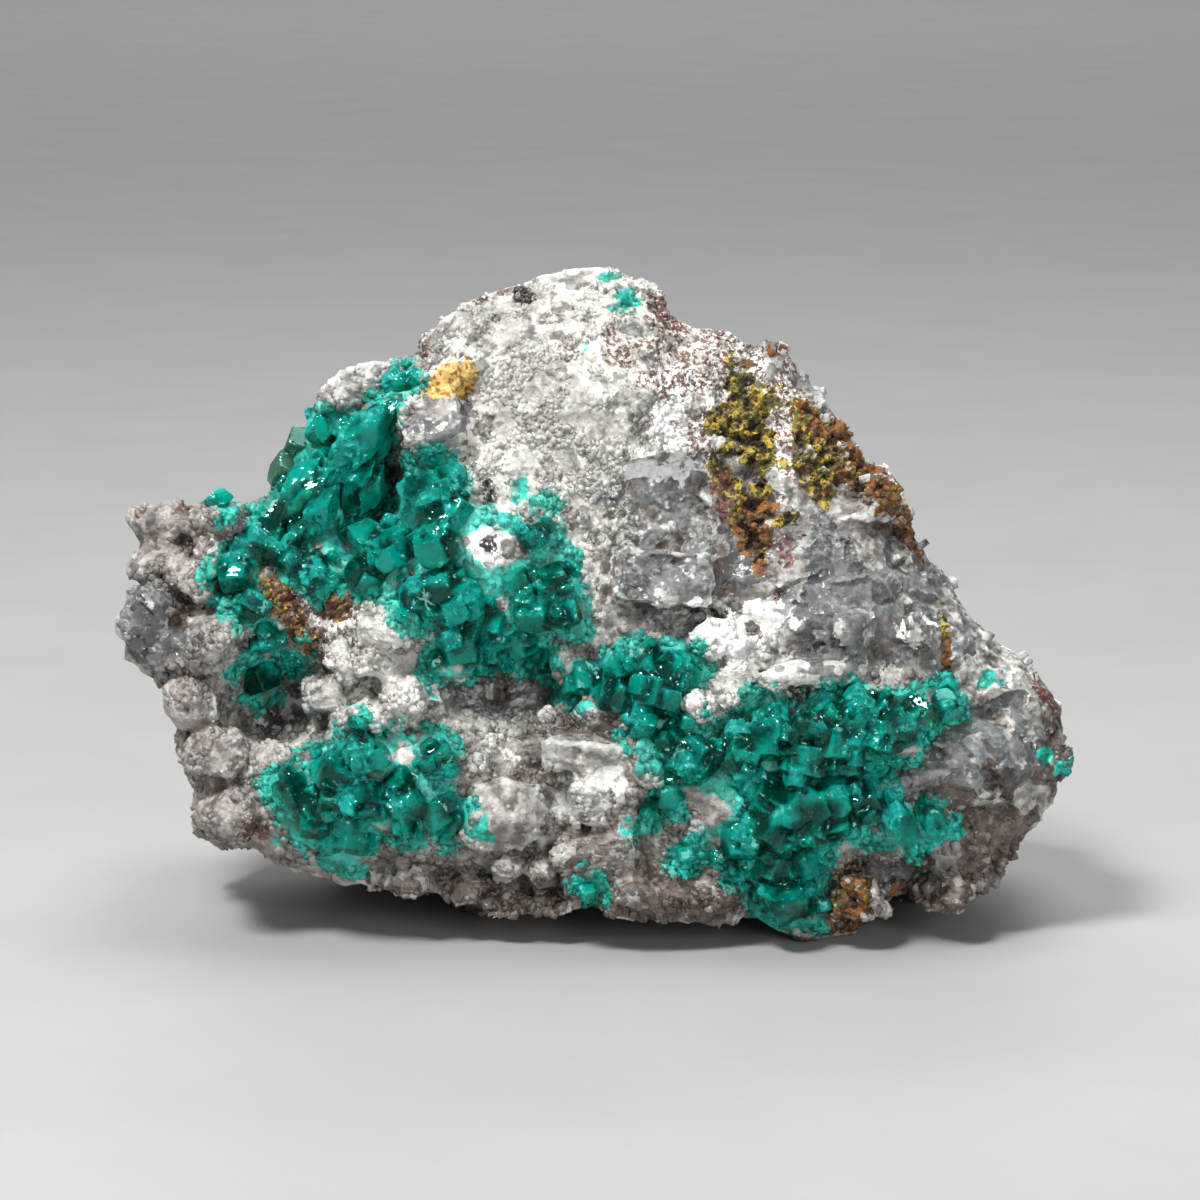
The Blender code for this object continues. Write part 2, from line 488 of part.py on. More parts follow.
def crystal(at, axis, radius, length, spin):
    """A six-sided prism that ends in the three faces of a rhombohedron, in a mesh of its own."""
    bm = bmesh.new()
    bmesh.ops.create_cone(
        bm, cap_ends=True, segments=6, radius1=radius, radius2=radius, depth=length
    )
    for turn in (0, 120, 240):
        azimuth = math.radians(turn)
        across = math.sin(RHOMB_SLOPE)
        normal = Vector((math.cos(azimuth) * across, math.sin(azimuth) * across, math.cos(RHOMB_SLOPE)))
        cut = bmesh.ops.bisect_plane(
            bm,
            geom=bm.verts[:] + bm.edges[:] + bm.faces[:],
            plane_co=(0, 0, length / 2 - radius * 0.15),
            plane_no=normal,
            clear_outer=True,
        )
        edges = [item for item in cut["geom_cut"] if isinstance(item, bmesh.types.BMEdge)]
        bmesh.ops.edgeloop_fill(bm, edges=edges)
    frame = Matrix.Translation(at) @ axis.to_track_quat("Z", "Y").to_matrix().to_4x4()
    frame = frame @ Matrix.Rotation(spin, 4, "Z")
    bmesh.ops.transform(bm, matrix=frame, verts=bm.verts[:])
    return bm


def crystal_axis(points, towards):
    """The direction of a crystal's tip: its bearing in the display plane, and its lean out."""
    bearing, lean = math.radians(points), math.radians(towards)
    flat = RIGHT * math.cos(bearing) + UP * math.sin(bearing)
    return flat * math.cos(lean) - AWAY * math.sin(lean)


def links_between(crystals):
    """The small crystals that grow between each crystal and the nearest one already joined."""
    joined, left, links = crystals[:1], list(crystals[1:]), []
    while left:
        gap, near, far = min(
            (math.dist(far[:2], near[:2]) - near[2] - far[2], near, far)
            for near in joined
            for far in left
        )
        if gap > -1.1:
            share = near[2] / (near[2] + far[2])
            middle = [near[i] + (far[i] - near[i]) * share for i in (0, 1)]
            links.append((*middle, 0.9 + max(0.0, gap * 0.5)))
        joined.append(far)
        left.remove(far)
    return links


def crystal_mass(name, crystals, surface, grown_rock, material, seed):
    """One mass of crystals, joined, and cut where it meets the rock."""
    chance = random.Random(seed)
    shells = bmesh.new()
    for a, b, radius, *known in (*crystals, *links_between(crystals)):
        hit, normal, _, _ = surface.ray_cast(EYE, (on_plane(a, b) - EYE).normalized())
        if hit is None:
            hit, normal = on_sight_line(a, b, 1.0), -AWAY
        if known:
            length, points, towards = known
            axis = crystal_axis(points, towards)
        else:
            length = radius * 3.4
            axis = (normal - AWAY * 0.7 + Vector([chance.uniform(-0.6, 0.6) for _ in range(3)]))
        axis = axis.normalized()
        out = (normal - AWAY * 1.5).normalized() * min(CRYSTAL_STAND, radius * 0.8)
        at = hit + out * MM - axis * length * 0.2 * MM
        add_mesh(shells, crystal(at, axis, radius * MM, length * MM, chance.uniform(0, 1)))
    mass = new_object(name, shells, material)
    with_modifier(mass, "BOOLEAN", operation="DIFFERENCE", object=grown_rock, use_self=True)
    cut_level(mass)
    keep_largest(mass)
    return mass


def keep_largest(obj):
    """Drops the chips that a cut has left beside the main body."""
    bm = bmesh.new()
    bm.from_mesh(obj.data)
    left, bodies = set(bm.verts), []
    while left:
        stack, body = [left.pop()], []
        while stack:
            vert = stack.pop()
            body.append(vert)
            for edge in vert.link_edges:
                other = edge.other_vert(vert)
                if other in left:
                    left.remove(other)
                    stack.append(other)
        bodies.append(body)
    for body in sorted(bodies, key=len)[:-1]:
        bmesh.ops.delete(bm, geom=body, context="VERTS")
    bm.to_mesh(obj.data)
    bm.free()


def grown(rock):
    """A cutter that follows the rock's surface a small gap outside it."""
    bm = bmesh.new()
    bm.from_mesh(rock.data)
    bm.normal_update()
    moves = [vert.normal * vert.calc_shell_factor() * CRYSTAL_GAP * MM for vert in bm.verts]
    for vert, move in zip(bm.verts, moves):
        vert.co += move
    cutter = new_object("rock_grown", bm)
    cutter.hide_render = True
    cutter.display_type = "WIRE"
    return cutter


def plain_material(name, colour, roughness, transmission=0.0):
    material = bpy.data.materials.new(name)
    material.use_nodes = True
    shader = material.node_tree.nodes["Principled BSDF"]
    shader.inputs["Base Color"].default_value = (*colour, 1)
    shader.inputs["Roughness"].default_value = roughness
    shader.inputs["Metallic"].default_value = 0.0
    shader.inputs["Transmission Weight"].default_value = transmission
    material.diffuse_color = (*colour, 1)
    return material


def main():
    for obj in list(bpy.data.objects):
        bpy.data.objects.remove(obj)
    noise.seed_set(5)
    calcite = plain_material("calcite_and_quartz", (0.62, 0.60, 0.57), 0.6)
    green = plain_material("dioptase", (0.0, 0.36, 0.28), 0.15, 0.4)
    rock = rock_solid(calcite)
    bm = bmesh.new()
    bm.from_mesh(rock.data)
    surface = BVHTree.FromBMesh(bm)
    bm.free()
    cutter = grown(rock)
    for seed, (name, crystals) in enumerate(CLUSTERS.items()):
        crystal_mass(name, crystals, surface, cutter, green, seed)


main()
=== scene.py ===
"""A specimen of green dioptase on white calcite and quartz, as it looks on a pale table.

Places on the side that shows the crystals are in millimetres in the display plane: a to the right
of the middle and b up from the lowest point, as an eye EYE_DISTANCE away that looks down by
DISPLAY_TILT sees them.
"""

import math
import random

import bmesh
import bpy
import numpy as np
from mathutils import Matrix, Vector, noise
from mathutils.bvhtree import BVHTree


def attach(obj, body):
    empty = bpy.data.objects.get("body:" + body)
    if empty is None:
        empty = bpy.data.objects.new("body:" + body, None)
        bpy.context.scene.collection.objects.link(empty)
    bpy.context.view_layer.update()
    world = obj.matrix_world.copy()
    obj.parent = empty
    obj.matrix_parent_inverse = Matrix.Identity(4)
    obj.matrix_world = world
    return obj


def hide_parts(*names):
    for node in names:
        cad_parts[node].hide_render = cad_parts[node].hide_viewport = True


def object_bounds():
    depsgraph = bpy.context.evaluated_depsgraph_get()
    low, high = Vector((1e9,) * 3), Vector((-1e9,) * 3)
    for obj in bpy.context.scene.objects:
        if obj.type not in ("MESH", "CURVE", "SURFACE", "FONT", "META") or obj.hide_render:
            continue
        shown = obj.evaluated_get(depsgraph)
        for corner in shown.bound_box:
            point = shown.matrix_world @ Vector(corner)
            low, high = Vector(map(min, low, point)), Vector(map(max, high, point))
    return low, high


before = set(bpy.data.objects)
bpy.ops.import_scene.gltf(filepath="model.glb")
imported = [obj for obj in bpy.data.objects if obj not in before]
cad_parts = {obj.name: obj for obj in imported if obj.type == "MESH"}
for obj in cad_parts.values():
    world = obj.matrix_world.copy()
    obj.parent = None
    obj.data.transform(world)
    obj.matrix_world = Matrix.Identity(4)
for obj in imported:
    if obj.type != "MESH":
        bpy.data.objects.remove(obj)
cad_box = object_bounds()
noise.seed_set(5)
MM = 0.001

# The rock: a broken lump of white calcite, grey spar and quartz, stained by iron, that the
# crystals grew on. It is a ball whose middle section is the outline that the eye sees, with
# cobbles and cleaved blocks that stand out of it, and broken facets all over.
OUTLINE = [
    (-47.5, 33.8), (-47.2, 34.9), (-46.2, 35.4), (-44.9, 35.6), (-45.0, 36.6), (-46.0, 37.4),
    (-46.2, 38.4), (-45.0, 40.0), (-44.5, 41.6), (-43.6, 42.7), (-42.0, 43.3), (-39.5, 43.5),
    (-36.0, 43.4), (-33.5, 44.0), (-31.4, 46.5), (-29.8, 50.0), (-28.6, 52.9), (-26.2, 55.0),
    (-23.5, 56.6), (-20.9, 57.7), (-18.0, 58.2), (-17.4, 60.0), (-15.8, 62.1), (-12.8, 63.8),
    (-9.8, 64.9), (-6.8, 65.8), (-3.8, 67.0), (-1.6, 67.6), (0.6, 67.3), (2.8, 66.2), (5.2, 65.4),
    (6.3, 64.0), (7.5, 61.9), (10.3, 61.3), (13.8, 60.4), (15.8, 59.1), (16.9, 59.6), (18.9, 59.7),
    (20.0, 57.8), (22.1, 55.2), (24.6, 52.0), (26.0, 49.0), (27.6, 47.0), (29.4, 45.9),
    (31.0, 43.6), (31.8, 40.6), (33.8, 37.6), (35.6, 34.6), (38.2, 31.6), (41.2, 28.6),
    (44.2, 26.2), (46.2, 23.8), (47.1, 20.6), (47.3, 17.6), (46.5, 14.2), (45.0, 11.6),
    (42.4, 9.2), (41.0, 6.4), (38.8, 4.4), (35.8, 3.4), (33.4, 3.7), (31.6, 4.6), (28.4, 4.2),
    (26.6, 2.4), (23.6, 0.4), (20.0, 0.1), (16.0, 0.5), (13.0, 1.2), (8.8, 2.1), (3.4, 2.9),
    (-2.4, 2.6), (-7.6, 2.0), (-11.6, 2.6), (-14.8, 3.8), (-19.0, 4.0), (-22.0, 4.8),
    (-26.0, 5.2), (-30.2, 6.1), (-34.4, 8.4), (-38.6, 9.4), (-40.4, 11.2), (-40.9, 15.0),
    (-41.9, 19.0), (-41.8, 21.0), (-43.0, 24.0), (-44.4, 26.2), (-46.4, 27.0), (-47.4, 29.0),
]
OUTLINE_MIDDLE = (0.3, 29.8)
# The ball's bulge in mm to the front, and to the back low down and high up. The underside is lifted
# off the table but for four feet, which are given as a and the depth behind the display plane.
FRONT_BULGE = 7.0
BACK_BULGE_LOW, BACK_BULGE_HIGH = 38.0, 15.0
UNDERSIDE_LIFT = 3.2
FEET = [(22.0, 3.5), (34.0, 18.5), (-10.0, 12.5), (-21.0, 27.0)]
FOOT_REACH, SEAT_RADIUS = 9.0, 3.0

# Broad swells: a, b, half width, half height, turn and height, which is negative for a hollow.
SWELLS = [
    (-7.7, 50.8, 17.0, 14.0, 0, 3.0), (26.3, 33.8, 10.0, 7.0, -20, 2.4),
    (-22.0, 43.6, 3.0, 6.5, -12, -7.0), (-31.4, 23.6, 5.2, 5.6, 0, -8.5),
    (-8.2, 25.6, 7.0, 4.0, 0, -5.0), (-15.7, 35.8, 11.0, 8.0, 0, 3.0),
    (-22.7, 14.8, 9.0, 6.0, 0, 2.0), (18.3, 13.8, 11.0, 6.5, 0, 2.5),
    (26.0, 21.4, 9.0, 4.0, 15, 2.0), (5.3, 22.4, 3.0, 7.0, -40, 1.8),
    (9.8, 31.8, 2.4, 1.2, 25, -3.5), (37.6, 22.4, 6.5, 1.2, 16, -1.5),
    (36.3, 16.8, 9.0, 4.0, 8, 2.4), (6.8, 44.6, 5.0, 3.6, 0, -0.8),
    (14.8, 48.8, 2.8, 8.0, 5, -1.4), (-11.7, 5.4, 14.0, 2.4, 0, -2.4),
    (23.0, 16.3, 9.0, 1.1, 8, -2.4), (29.5, 6.0, 4.0, 2.4, 10, -2.6),
    (-41.5, 34.8, 5.0, 1.1, 0, -2.4),
]

# Lumps: a, b, width, height, thickness, turn, squareness and how far out each stands. Over
# CUBE_ABOVE in squareness a lump is a cleaved block, and otherwise it is a cobble.
CUBE_ABOVE = 0.6
LUMPS = [
    (-43.2, 41.3, 6.2, 4.6, 6.0, 10, 0, 0.4), (-38.2, 41.6, 7.2, 4.2, 6.0, 0, 0, 0.6),
    (-44.0, 37.6, 4.6, 4.4, 5.0, 0, 0, 0.6), (-40.8, 36.4, 7.2, 3.2, 4.0, -38, 0, 0.8),
    (-44.0, 31.2, 6.6, 8.2, 7.0, 0, 0.4, 0.4), (-38.8, 29.6, 7.0, 5.6, 5.0, 8, 0.4, 0.8),
    (-38.2, 38.0, 3.0, 4.4, 3.4, 0, 0, 1.0), (-40.4, 23.8, 6.0, 5.0, 5.0, 0, 0, 0.3),
    (-38.0, 18.6, 6.0, 5.0, 4.6, 0, 0, 0.4), (-36.8, 12.4, 6.4, 5.4, 4.6, 0, 0, 0.3),
    (-32.8, 18.0, 5.0, 4.0, 3.6, 0, 0, 0.6), (-25.2, 27.8, 4.4, 3.8, 4.4, 0, 0, 1.2),
    (-21.8, 27.6, 3.8, 3.8, 4.2, 0, 0, 1.2), (-26.7, 24.6, 4.6, 3.8, 4.4, 0, 0, 0.8),
    (-18.8, 24.4, 5.2, 5.0, 5.0, 0, 0.2, 1.2), (-23.0, 22.2, 5.0, 2.8, 4.0, 0, 0, 1.0),
    (-21.0, 31.0, 7.0, 4.4, 4.4, 0, 0, 0.6), (-14.8, 27.4, 4.4, 3.0, 3.4, 0, 0, 0.6),
    (-3.0, 28.2, 3.8, 4.4, 3.6, 0, 0, 1.0), (-4.7, 22.2, 2.6, 2.6, 2.8, 0, 0, 0.6),
    (-0.7, 22.6, 3.2, 3.0, 3.0, 0, 0, 0.6), (-1.4, 18.9, 8.8, 3.8, 4.4, -6, 0.9, 1.6),
    (5.0, 17.4, 4.0, 6.4, 4.2, 10, 0.2, 1.0), (0.6, 14.2, 6.8, 4.8, 4.4, -4, 1.0, 1.4),
    (-9.6, 12.6, 8.4, 7.0, 5.4, 22, 0.4, 1.4), (0.4, 8.6, 8.0, 5.6, 5.0, 14, 0.9, 1.6),
    (-8.7, 8.0, 3.2, 3.2, 3.4, 0, 0.2, 1.4), (-5.2, 7.4, 4.2, 3.4, 3.6, -8, 0.3, 1.4),
    (-19.6, 6.2, 7.0, 3.6, 4.6, -8, 0.3, 0.6), (-13.2, 5.0, 5.4, 3.2, 4.6, 0, 0.3, 1.0),
    (-9.0, 3.9, 4.4, 3.0, 4.6, 0, 0.4, 1.4), (-4.0, 4.0, 5.0, 2.6, 4.6, 0, 0.4, 1.0),
    (8.0, 5.0, 14.0, 5.4, 6.4, -4, 0.8, 0.8), (-24.2, 54.6, 8.4, 4.6, 5.0, 30, 0.2, 0.4),
    (-14.4, 55.8, 6.4, 3.2, 4.2, 34, 0.2, 1.8), (-16.0, 51.0, 6.0, 5.0, 4.6, 16, 0.8, 1.2),
    (6.6, 36.0, 10.6, 6.0, 4.6, -3, 1.0, 0.8), (22.4, 26.6, 13.0, 3.4, 4.2, 3, 0.2, 1.2),
    (12.2, 30.0, 6.0, 4.4, 3.8, 0, 0.2, 0.6), (14.2, 25.2, 5.0, 5.4, 3.8, 0, 0.2, 0.4),
    (9.8, 23.4, 3.2, 3.0, 3.0, 0, 0.3, 1.8), (7.2, 48.4, 10.0, 1.8, 2.6, 10, 0.3, 0.6),
    (25.6, 31.0, 5.6, 5.0, 3.4, -30, 0.1, 0.6), (31.8, 30.6, 4.0, 3.2, 2.4, -15, 0.9, 1.0),
    (34.6, 4.9, 5.4, 4.2, 6.0, 20, 0.5, 0.6), (25.0, 4.2, 5.4, 6.8, 5.0, 8, 0.1, 3.4),
    (27.4, 43.6, 4.0, 6.0, 5.0, -35, 0.2, 0.2), (18.0, 58.5, 3.0, 2.0, 3.0, 0, 0.2, 0.0),
    (46.6, 18.6, 2.0, 2.6, 2.4, 0, 0, 0.6),
]

# The display plane. The eye looks along AWAY, and the camera at the end stands at EYE.
DISPLAY_TILT = math.radians(10)
EYE_DISTANCE = 0.45
RIGHT = Vector((1, 0, 0))
UP = Vector((0, math.sin(DISPLAY_TILT), math.cos(DISPLAY_TILT)))
AWAY = Vector((0, math.cos(DISPLAY_TILT), -math.sin(DISPLAY_TILT)))
ORIGIN = Vector((0, -18.75, 0)) * MM


def on_plane(a, b, depth=0.0):
    return ORIGIN + (RIGHT * a + UP * b + AWAY * depth) * MM


EYE = on_plane(0.3, 33.8, -EYE_DISTANCE / MM)


def on_sight_line(a, b, depth):
    """The point that the eye sees at (a, b), depth mm behind the display plane."""
    return EYE + (on_plane(a, b) - EYE) * (1 + depth * MM / EYE_DISTANCE)


def smooth_step(value, low, high):
    t = np.clip((value - low) / (high - low), 0, 1)
    return t * t * (3 - 2 * t)


def outline_table(steps_per_side):
    """Angles about OUTLINE_MIDDLE and the outline's distance from it at each, in order."""
    angles, reaches = [], []
    for (a0, b0), (a1, b1) in zip(OUTLINE, OUTLINE[1:] + OUTLINE[:1]):
        for step in range(steps_per_side):
            t = step / steps_per_side
            a = a0 + (a1 - a0) * t - OUTLINE_MIDDLE[0]
            b = b0 + (b1 - b0) * t - OUTLINE_MIDDLE[1]
            angles.append(math.atan2(b, a))
            reaches.append(math.hypot(a, b))
    order = np.argsort(angles)
    return np.array(angles)[order], np.array(reaches)[order]


def seen(points):
    """Where the eye sees each row of an array of points: an array of a and one of b."""
    lines = points - np.array(EYE)
    at = np.array(EYE) + lines * (EYE_DISTANCE / (lines @ np.array(AWAY)))[:, None]
    at = (at - np.array(ORIGIN)) / MM
    return at @ np.array(RIGHT), at @ np.array(UP)


ANGLES, REACHES = outline_table(6)
# Away from the silhouette the form follows the outline blurred over 12 degrees to each side.
TURNS = np.linspace(-math.pi, math.pi, 360, endpoint=False)
BLURRED = np.interp(TURNS, ANGLES, REACHES, period=2 * math.pi)
BLURRED = np.mean([np.roll(BLURRED, shift) for shift in range(-12, 13)], axis=0)
rock = bmesh.new()
bmesh.ops.create_icosphere(rock, subdivisions=7, radius=1)
for vert in rock.verts:
    x, y, z = vert.co
    angle = math.atan2(z, x)
    share = math.sqrt(1 - min(1.0, abs(y)))
    exact = float(np.interp(angle, ANGLES, REACHES, period=2 * math.pi))
    broad = float(np.interp(angle, TURNS, BLURRED, period=2 * math.pi))
    reach = share * (broad + (exact - broad) * smooth_step(share, 0.6, 0.98))
    a = OUTLINE_MIDDLE[0] + reach * math.cos(angle)
    b = OUTLINE_MIDDLE[1] + reach * math.sin(angle)
    if y < 0:
        depth = 0.0
        for at_a, at_b, half_width, half_height, turn, height in SWELLS:
            c, s = math.cos(math.radians(turn)), math.sin(math.radians(turn))
            along = ((a - at_a) * c + (b - at_b) * s) / half_width
            across = ((b - at_b) * c - (a - at_a) * s) / half_height
            depth -= height * math.exp(-((along**2 + across**2) ** 1.5))
        depth *= smooth_step(1 - share, 0.0, 0.12)
        depth -= FRONT_BULGE * (1 - share**4) ** 0.6
    else:
        bulge = BACK_BULGE_LOW + (BACK_BULGE_HIGH - BACK_BULGE_LOW) * smooth_step(b, 18, 66)
        depth = bulge * (1 - share**5) ** 0.45
    vert.co = on_sight_line(a, b, depth)
rock_surface = BVHTree.FromBMesh(rock)


def add_lump(width, height, thickness, squareness, seed, at, facing, turn):
    """Adds a cobble or a cleaved block to the rock, turned so that its front faces facing."""
    bm = bmesh.new()
    if squareness > CUBE_ABOVE:
        bmesh.ops.create_cube(bm, size=1)
        bmesh.ops.bevel(
            bm, geom=bm.edges[:], offset=0.1, segments=1, profile=0.5, affect="EDGES", material=-1
        )
    else:
        bmesh.ops.create_icosphere(bm, subdivisions=2, radius=0.56)
    for vert in bm.verts:
        jitter = noise.noise_vector(vert.co * 1.7 + Vector((seed, 3.1 * seed, 0)))
        vert.co += jitter * (0.16 - 0.08 * squareness)
        vert.co.x *= width * MM
        vert.co.y *= thickness * MM
        vert.co.z *= height * MM
    back = -facing.normalized()
    side = back.cross(UP).normalized()
    up = side.cross(back)
    placed = Matrix.Translation(at) @ Matrix((side, back, up)).transposed().to_4x4()
    placed = placed @ Matrix.Rotation(math.radians(-turn), 4, "Y")
    bmesh.ops.transform(bm, matrix=placed, verts=bm.verts[:])
    mesh = bpy.data.meshes.new("lump")
    bm.to_mesh(mesh)
    bm.free()
    rock.from_mesh(mesh)
    bpy.data.meshes.remove(mesh)


for seed, (a, b, width, height, thickness, turn, square, out) in enumerate(LUMPS):
    hit, normal, _, _ = rock_surface.ray_cast(EYE, (on_plane(a, b) - EYE).normalized())
    if hit is None:
        hit, normal = on_plane(a, b), -AWAY
    facing = (normal - AWAY * 1.2).normalized()
    add_lump(width, height, thickness, square, seed, hit + facing * out * MM * 0.5, facing, turn)

# More blocks and cobbles over the back and the underside, which the eye doesn't see.
BACK_LUMPS, BACK_LUMP_WIDTHS, FIRST_BACK_SEED = 46, (8.0, 19.0), 60
chance = random.Random(11)
few_angles, few_reaches = outline_table(1)
for seed in range(BACK_LUMPS):
    turn_round = math.radians(chance.uniform(-75, 75))
    rise = chance.uniform(-0.35, 0.95)
    outwards = Vector((math.sin(turn_round), math.cos(turn_round), rise)).normalized()
    middle = on_plane(0, 32, 12)
    hit, normal, _, _ = rock_surface.ray_cast(middle + outwards * 0.2, -outwards)
    width = chance.uniform(*BACK_LUMP_WIDTHS)
    shape = (width, width * chance.uniform(0.5, 0.9), width * chance.uniform(0.4, 0.6))
    a, b = (float(value[0]) for value in seen(np.array([hit])))
    da, db = a - OUTLINE_MIDDLE[0], b - OUTLINE_MIDDLE[1]
    reach = float(np.interp(math.atan2(db, da), few_angles, few_reaches, period=2 * math.pi))
    if math.hypot(da, db) > reach - width * 0.55 or hit.z < 12 * MM:
        continue
    square = chance.choice((0.2, 0.9))
    at = hit - normal * width * 0.08 * MM
    add_lump(*shape, square, FIRST_BACK_SEED + seed, at, normal, chance.uniform(0, 180))

# Where the crystals stand on the rock, which stays flatter there: (a, b, radius) in mm, then the
# length, the degrees from the right that the tip points, and those that it leans to the eye.
CLUSTERS = {
    "dioptase_upper_left": [
        (-19.4, 55.8, 1.5, 4.6, 75, 30), (-21.2, 52.4, 1.5, 8.6, 61, 16),
        (-22.4, 50.2, 1.9, 5.2, 50, 35), (-23.6, 47.6, 1.7, 9.4, 63, 15),
        (-26.6, 43.8, 1.8, 8.8, 58, 18), (-28.6, 41.6, 2.1, 5.2, 40, 40),
        (-24.8, 51.4, 1.8, 4.6, 110, 30), (-27.4, 51.6, 1.9, 4.6, 100, 20),
        (-27.2, 48.2, 2.2, 4.6, 120, 35), (-29.6, 45.6, 2.1, 4.4, 120, 40),
        (-31.6, 42.8, 1.9, 4.6, 150, 35), (-32.8, 40.8, 1.5, 4.0, 200, 30),
        (-23.4, 44.4, 1.7, 4.6, 80, 45), (-25.0, 42.2, 1.4, 4.4, 300, 40),
        (-36.6, 36.4, 2.6, 5.4, 200, 40), (-33.2, 37.6, 2.7, 5.6, 110, 60),
        (-30.0, 38.4, 1.9, 4.6, 70, 50), (-27.4, 36.6, 2.3, 5.0, 60, 55),
        (-25.2, 39.8, 2.2, 7.0, 148, 30), (-22.0, 36.8, 2.6, 5.6, 90, 70),
        (-19.4, 39.6, 2.7, 5.4, 110, 60), (-17.6, 43.0, 2.4, 5.2, 120, 50),
        (-16.2, 45.8, 2.6, 5.4, 90, 40), (-13.6, 43.2, 2.1, 4.8, 40, 50),
        (-15.2, 39.4, 2.5, 5.4, 60, 65), (-11.6, 39.8, 1.9, 4.6, 30, 55),
        (-15.4, 35.6, 2.9, 5.8, 80, 70), (-18.2, 33.2, 2.4, 5.0, 240, 50),
        (-11.2, 35.6, 2.7, 5.4, 60, 65), (-7.8, 36.2, 1.9, 4.6, 50, 55),
        (-6.6, 32.8, 2.7, 5.6, 330, 60), (-3.8, 36.2, 2.3, 5.0, 30, 50),
        (-2.6, 32.2, 1.9, 4.4, 330, 45), (-12.0, 31.2, 3.0, 6.0, 280, 55),
        (-14.4, 27.8, 2.6, 5.0, 250, 40), (-10.4, 28.4, 1.7, 4.4, 290, 45),
        (-7.6, 29.2, 2.4, 5.2, 300, 50), (-34.8, 33.0, 1.9, 4.6, 200, 50),
        (-32.0, 30.4, 1.7, 4.4, 230, 45), (-30.4, 27.8, 1.4, 4.0, 250, 45),
        (-8.6, 40.0, 1.4, 4.0, 20, 50), (-5.6, 40.6, 1.4, 3.6, 40, 50),
        (-5.2, 27.8, 1.4, 3.6, 260, 50),
    ],
    "dioptase_smoky": [(-31.2, 47.8, 2.6, 6.0, 110, 10), (-30.0, 50.4, 2.1, 5.0, 110, 10)],
    "dioptase_cave": [(-33.8, 25.8, 2.3, 5.4, 290, 45)],
    "dioptase_rim": [(-37.0, 43.6, 1.3, 4.6, 10, 10)],
    "dioptase_lower_left": [
        (-30.6, 15.4, 2.3, 5.6, 110, 45), (-28.8, 11.6, 2.5, 5.2, 220, 50),
        (-26.2, 17.0, 2.6, 5.4, 110, 60), (-25.0, 10.0, 2.8, 5.6, 270, 50),
        (-22.4, 13.2, 2.7, 5.4, 300, 60), (-23.8, 20.2, 1.7, 4.8, 90, 40),
        (-20.2, 18.2, 2.3, 5.0, 80, 50), (-16.4, 18.4, 2.3, 4.8, 50, 50),
        (-18.8, 14.4, 2.5, 5.0, 20, 65), (-15.2, 12.2, 2.3, 4.8, 330, 50),
        (-19.2, 10.8, 1.5, 4.0, 270, 45), (-27.0, 14.0, 1.8, 4.4, 160, 60),
    ],
    "dioptase_lower_right": [
        (-1.2, 25.4, 2.5, 5.0, 230, 55), (1.8, 27.2, 1.6, 4.0, 140, 50),
        (2.6, 24.8, 2.4, 4.6, 90, 70), (5.2, 27.2, 2.4, 4.8, 110, 60),
        (8.4, 26.8, 2.5, 5.0, 60, 55), (6.0, 23.8, 2.5, 4.8, 250, 60),
        (4.4, 20.8, 1.8, 4.4, 200, 60), (7.8, 20.8, 2.5, 4.8, 60, 65),
        (10.6, 18.6, 2.4, 4.8, 30, 60), (7.0, 17.4, 1.9, 4.4, 200, 55),
        (9.4, 15.6, 2.3, 4.6, 200, 60), (6.6, 13.6, 1.8, 4.2, 240, 50),
        (16.6, 22.0, 2.4, 4.8, 110, 45), (14.0, 18.4, 2.7, 5.4, 170, 60),
        (17.6, 18.8, 2.4, 5.2, 300, 60), (20.6, 17.6, 2.4, 5.2, 260, 60),
        (20.4, 21.2, 1.9, 4.8, 120, 55), (23.2, 22.2, 2.4, 5.2, 90, 60),
        (24.0, 18.6, 2.5, 5.2, 270, 60), (26.6, 23.0, 2.3, 5.2, 80, 55),
        (27.4, 19.6, 2.4, 5.0, 280, 55), (29.8, 22.4, 2.5, 5.2, 70, 50),
        (30.4, 19.6, 1.8, 4.6, 300, 50), (32.6, 23.2, 2.2, 5.0, 40, 45),
        (34.8, 23.8, 1.7, 4.2, 20, 35), (12.4, 13.6, 2.5, 4.8, 200, 55),
        (13.2, 10.0, 2.5, 4.8, 230, 50), (16.4, 14.2, 2.4, 5.2, 150, 65),
        (17.0, 10.6, 2.9, 5.6, 250, 65), (20.2, 14.0, 2.5, 5.2, 80, 60),
        (21.0, 10.2, 2.5, 5.2, 280, 60), (24.0, 14.6, 2.6, 5.4, 70, 60),
        (24.6, 11.2, 2.4, 5.2, 320, 55), (27.2, 14.2, 2.3, 5.0, 40, 50),
        (17.4, 6.8, 2.2, 4.8, 250, 50), (21.0, 6.8, 2.3, 5.0, 290, 50),
        (18.2, 2.8, 3.0, 7.6, 264, 12), (20.6, 3.0, 2.0, 5.8, 280, 20),
        (13.8, 7.0, 1.5, 4.0, 230, 50), (30.5, 10.2, 1.75, 10.6, 292, 5),
        (33.6, 11.0, 1.6, 8.0, 290, 8),
    ],
    "dioptase_bead_low": [(8.6, 8.2, 1.2, 3.2, 240, 45)],
    "dioptase_chip_low": [(-0.5, 4.9, 1.2, 3.2, 10, 40)],
    "dioptase_edge": [(47.3, 16.7, 0.75, 2.0, 350, 15)],
    "dioptase_summit": [(2.7, 63.9, 0.8, 2.4, 60, 50)],
}
CRYSTAL_SPOTS = np.array([crystal[:3] for crystals in CLUSTERS.values() for crystal in crystals])


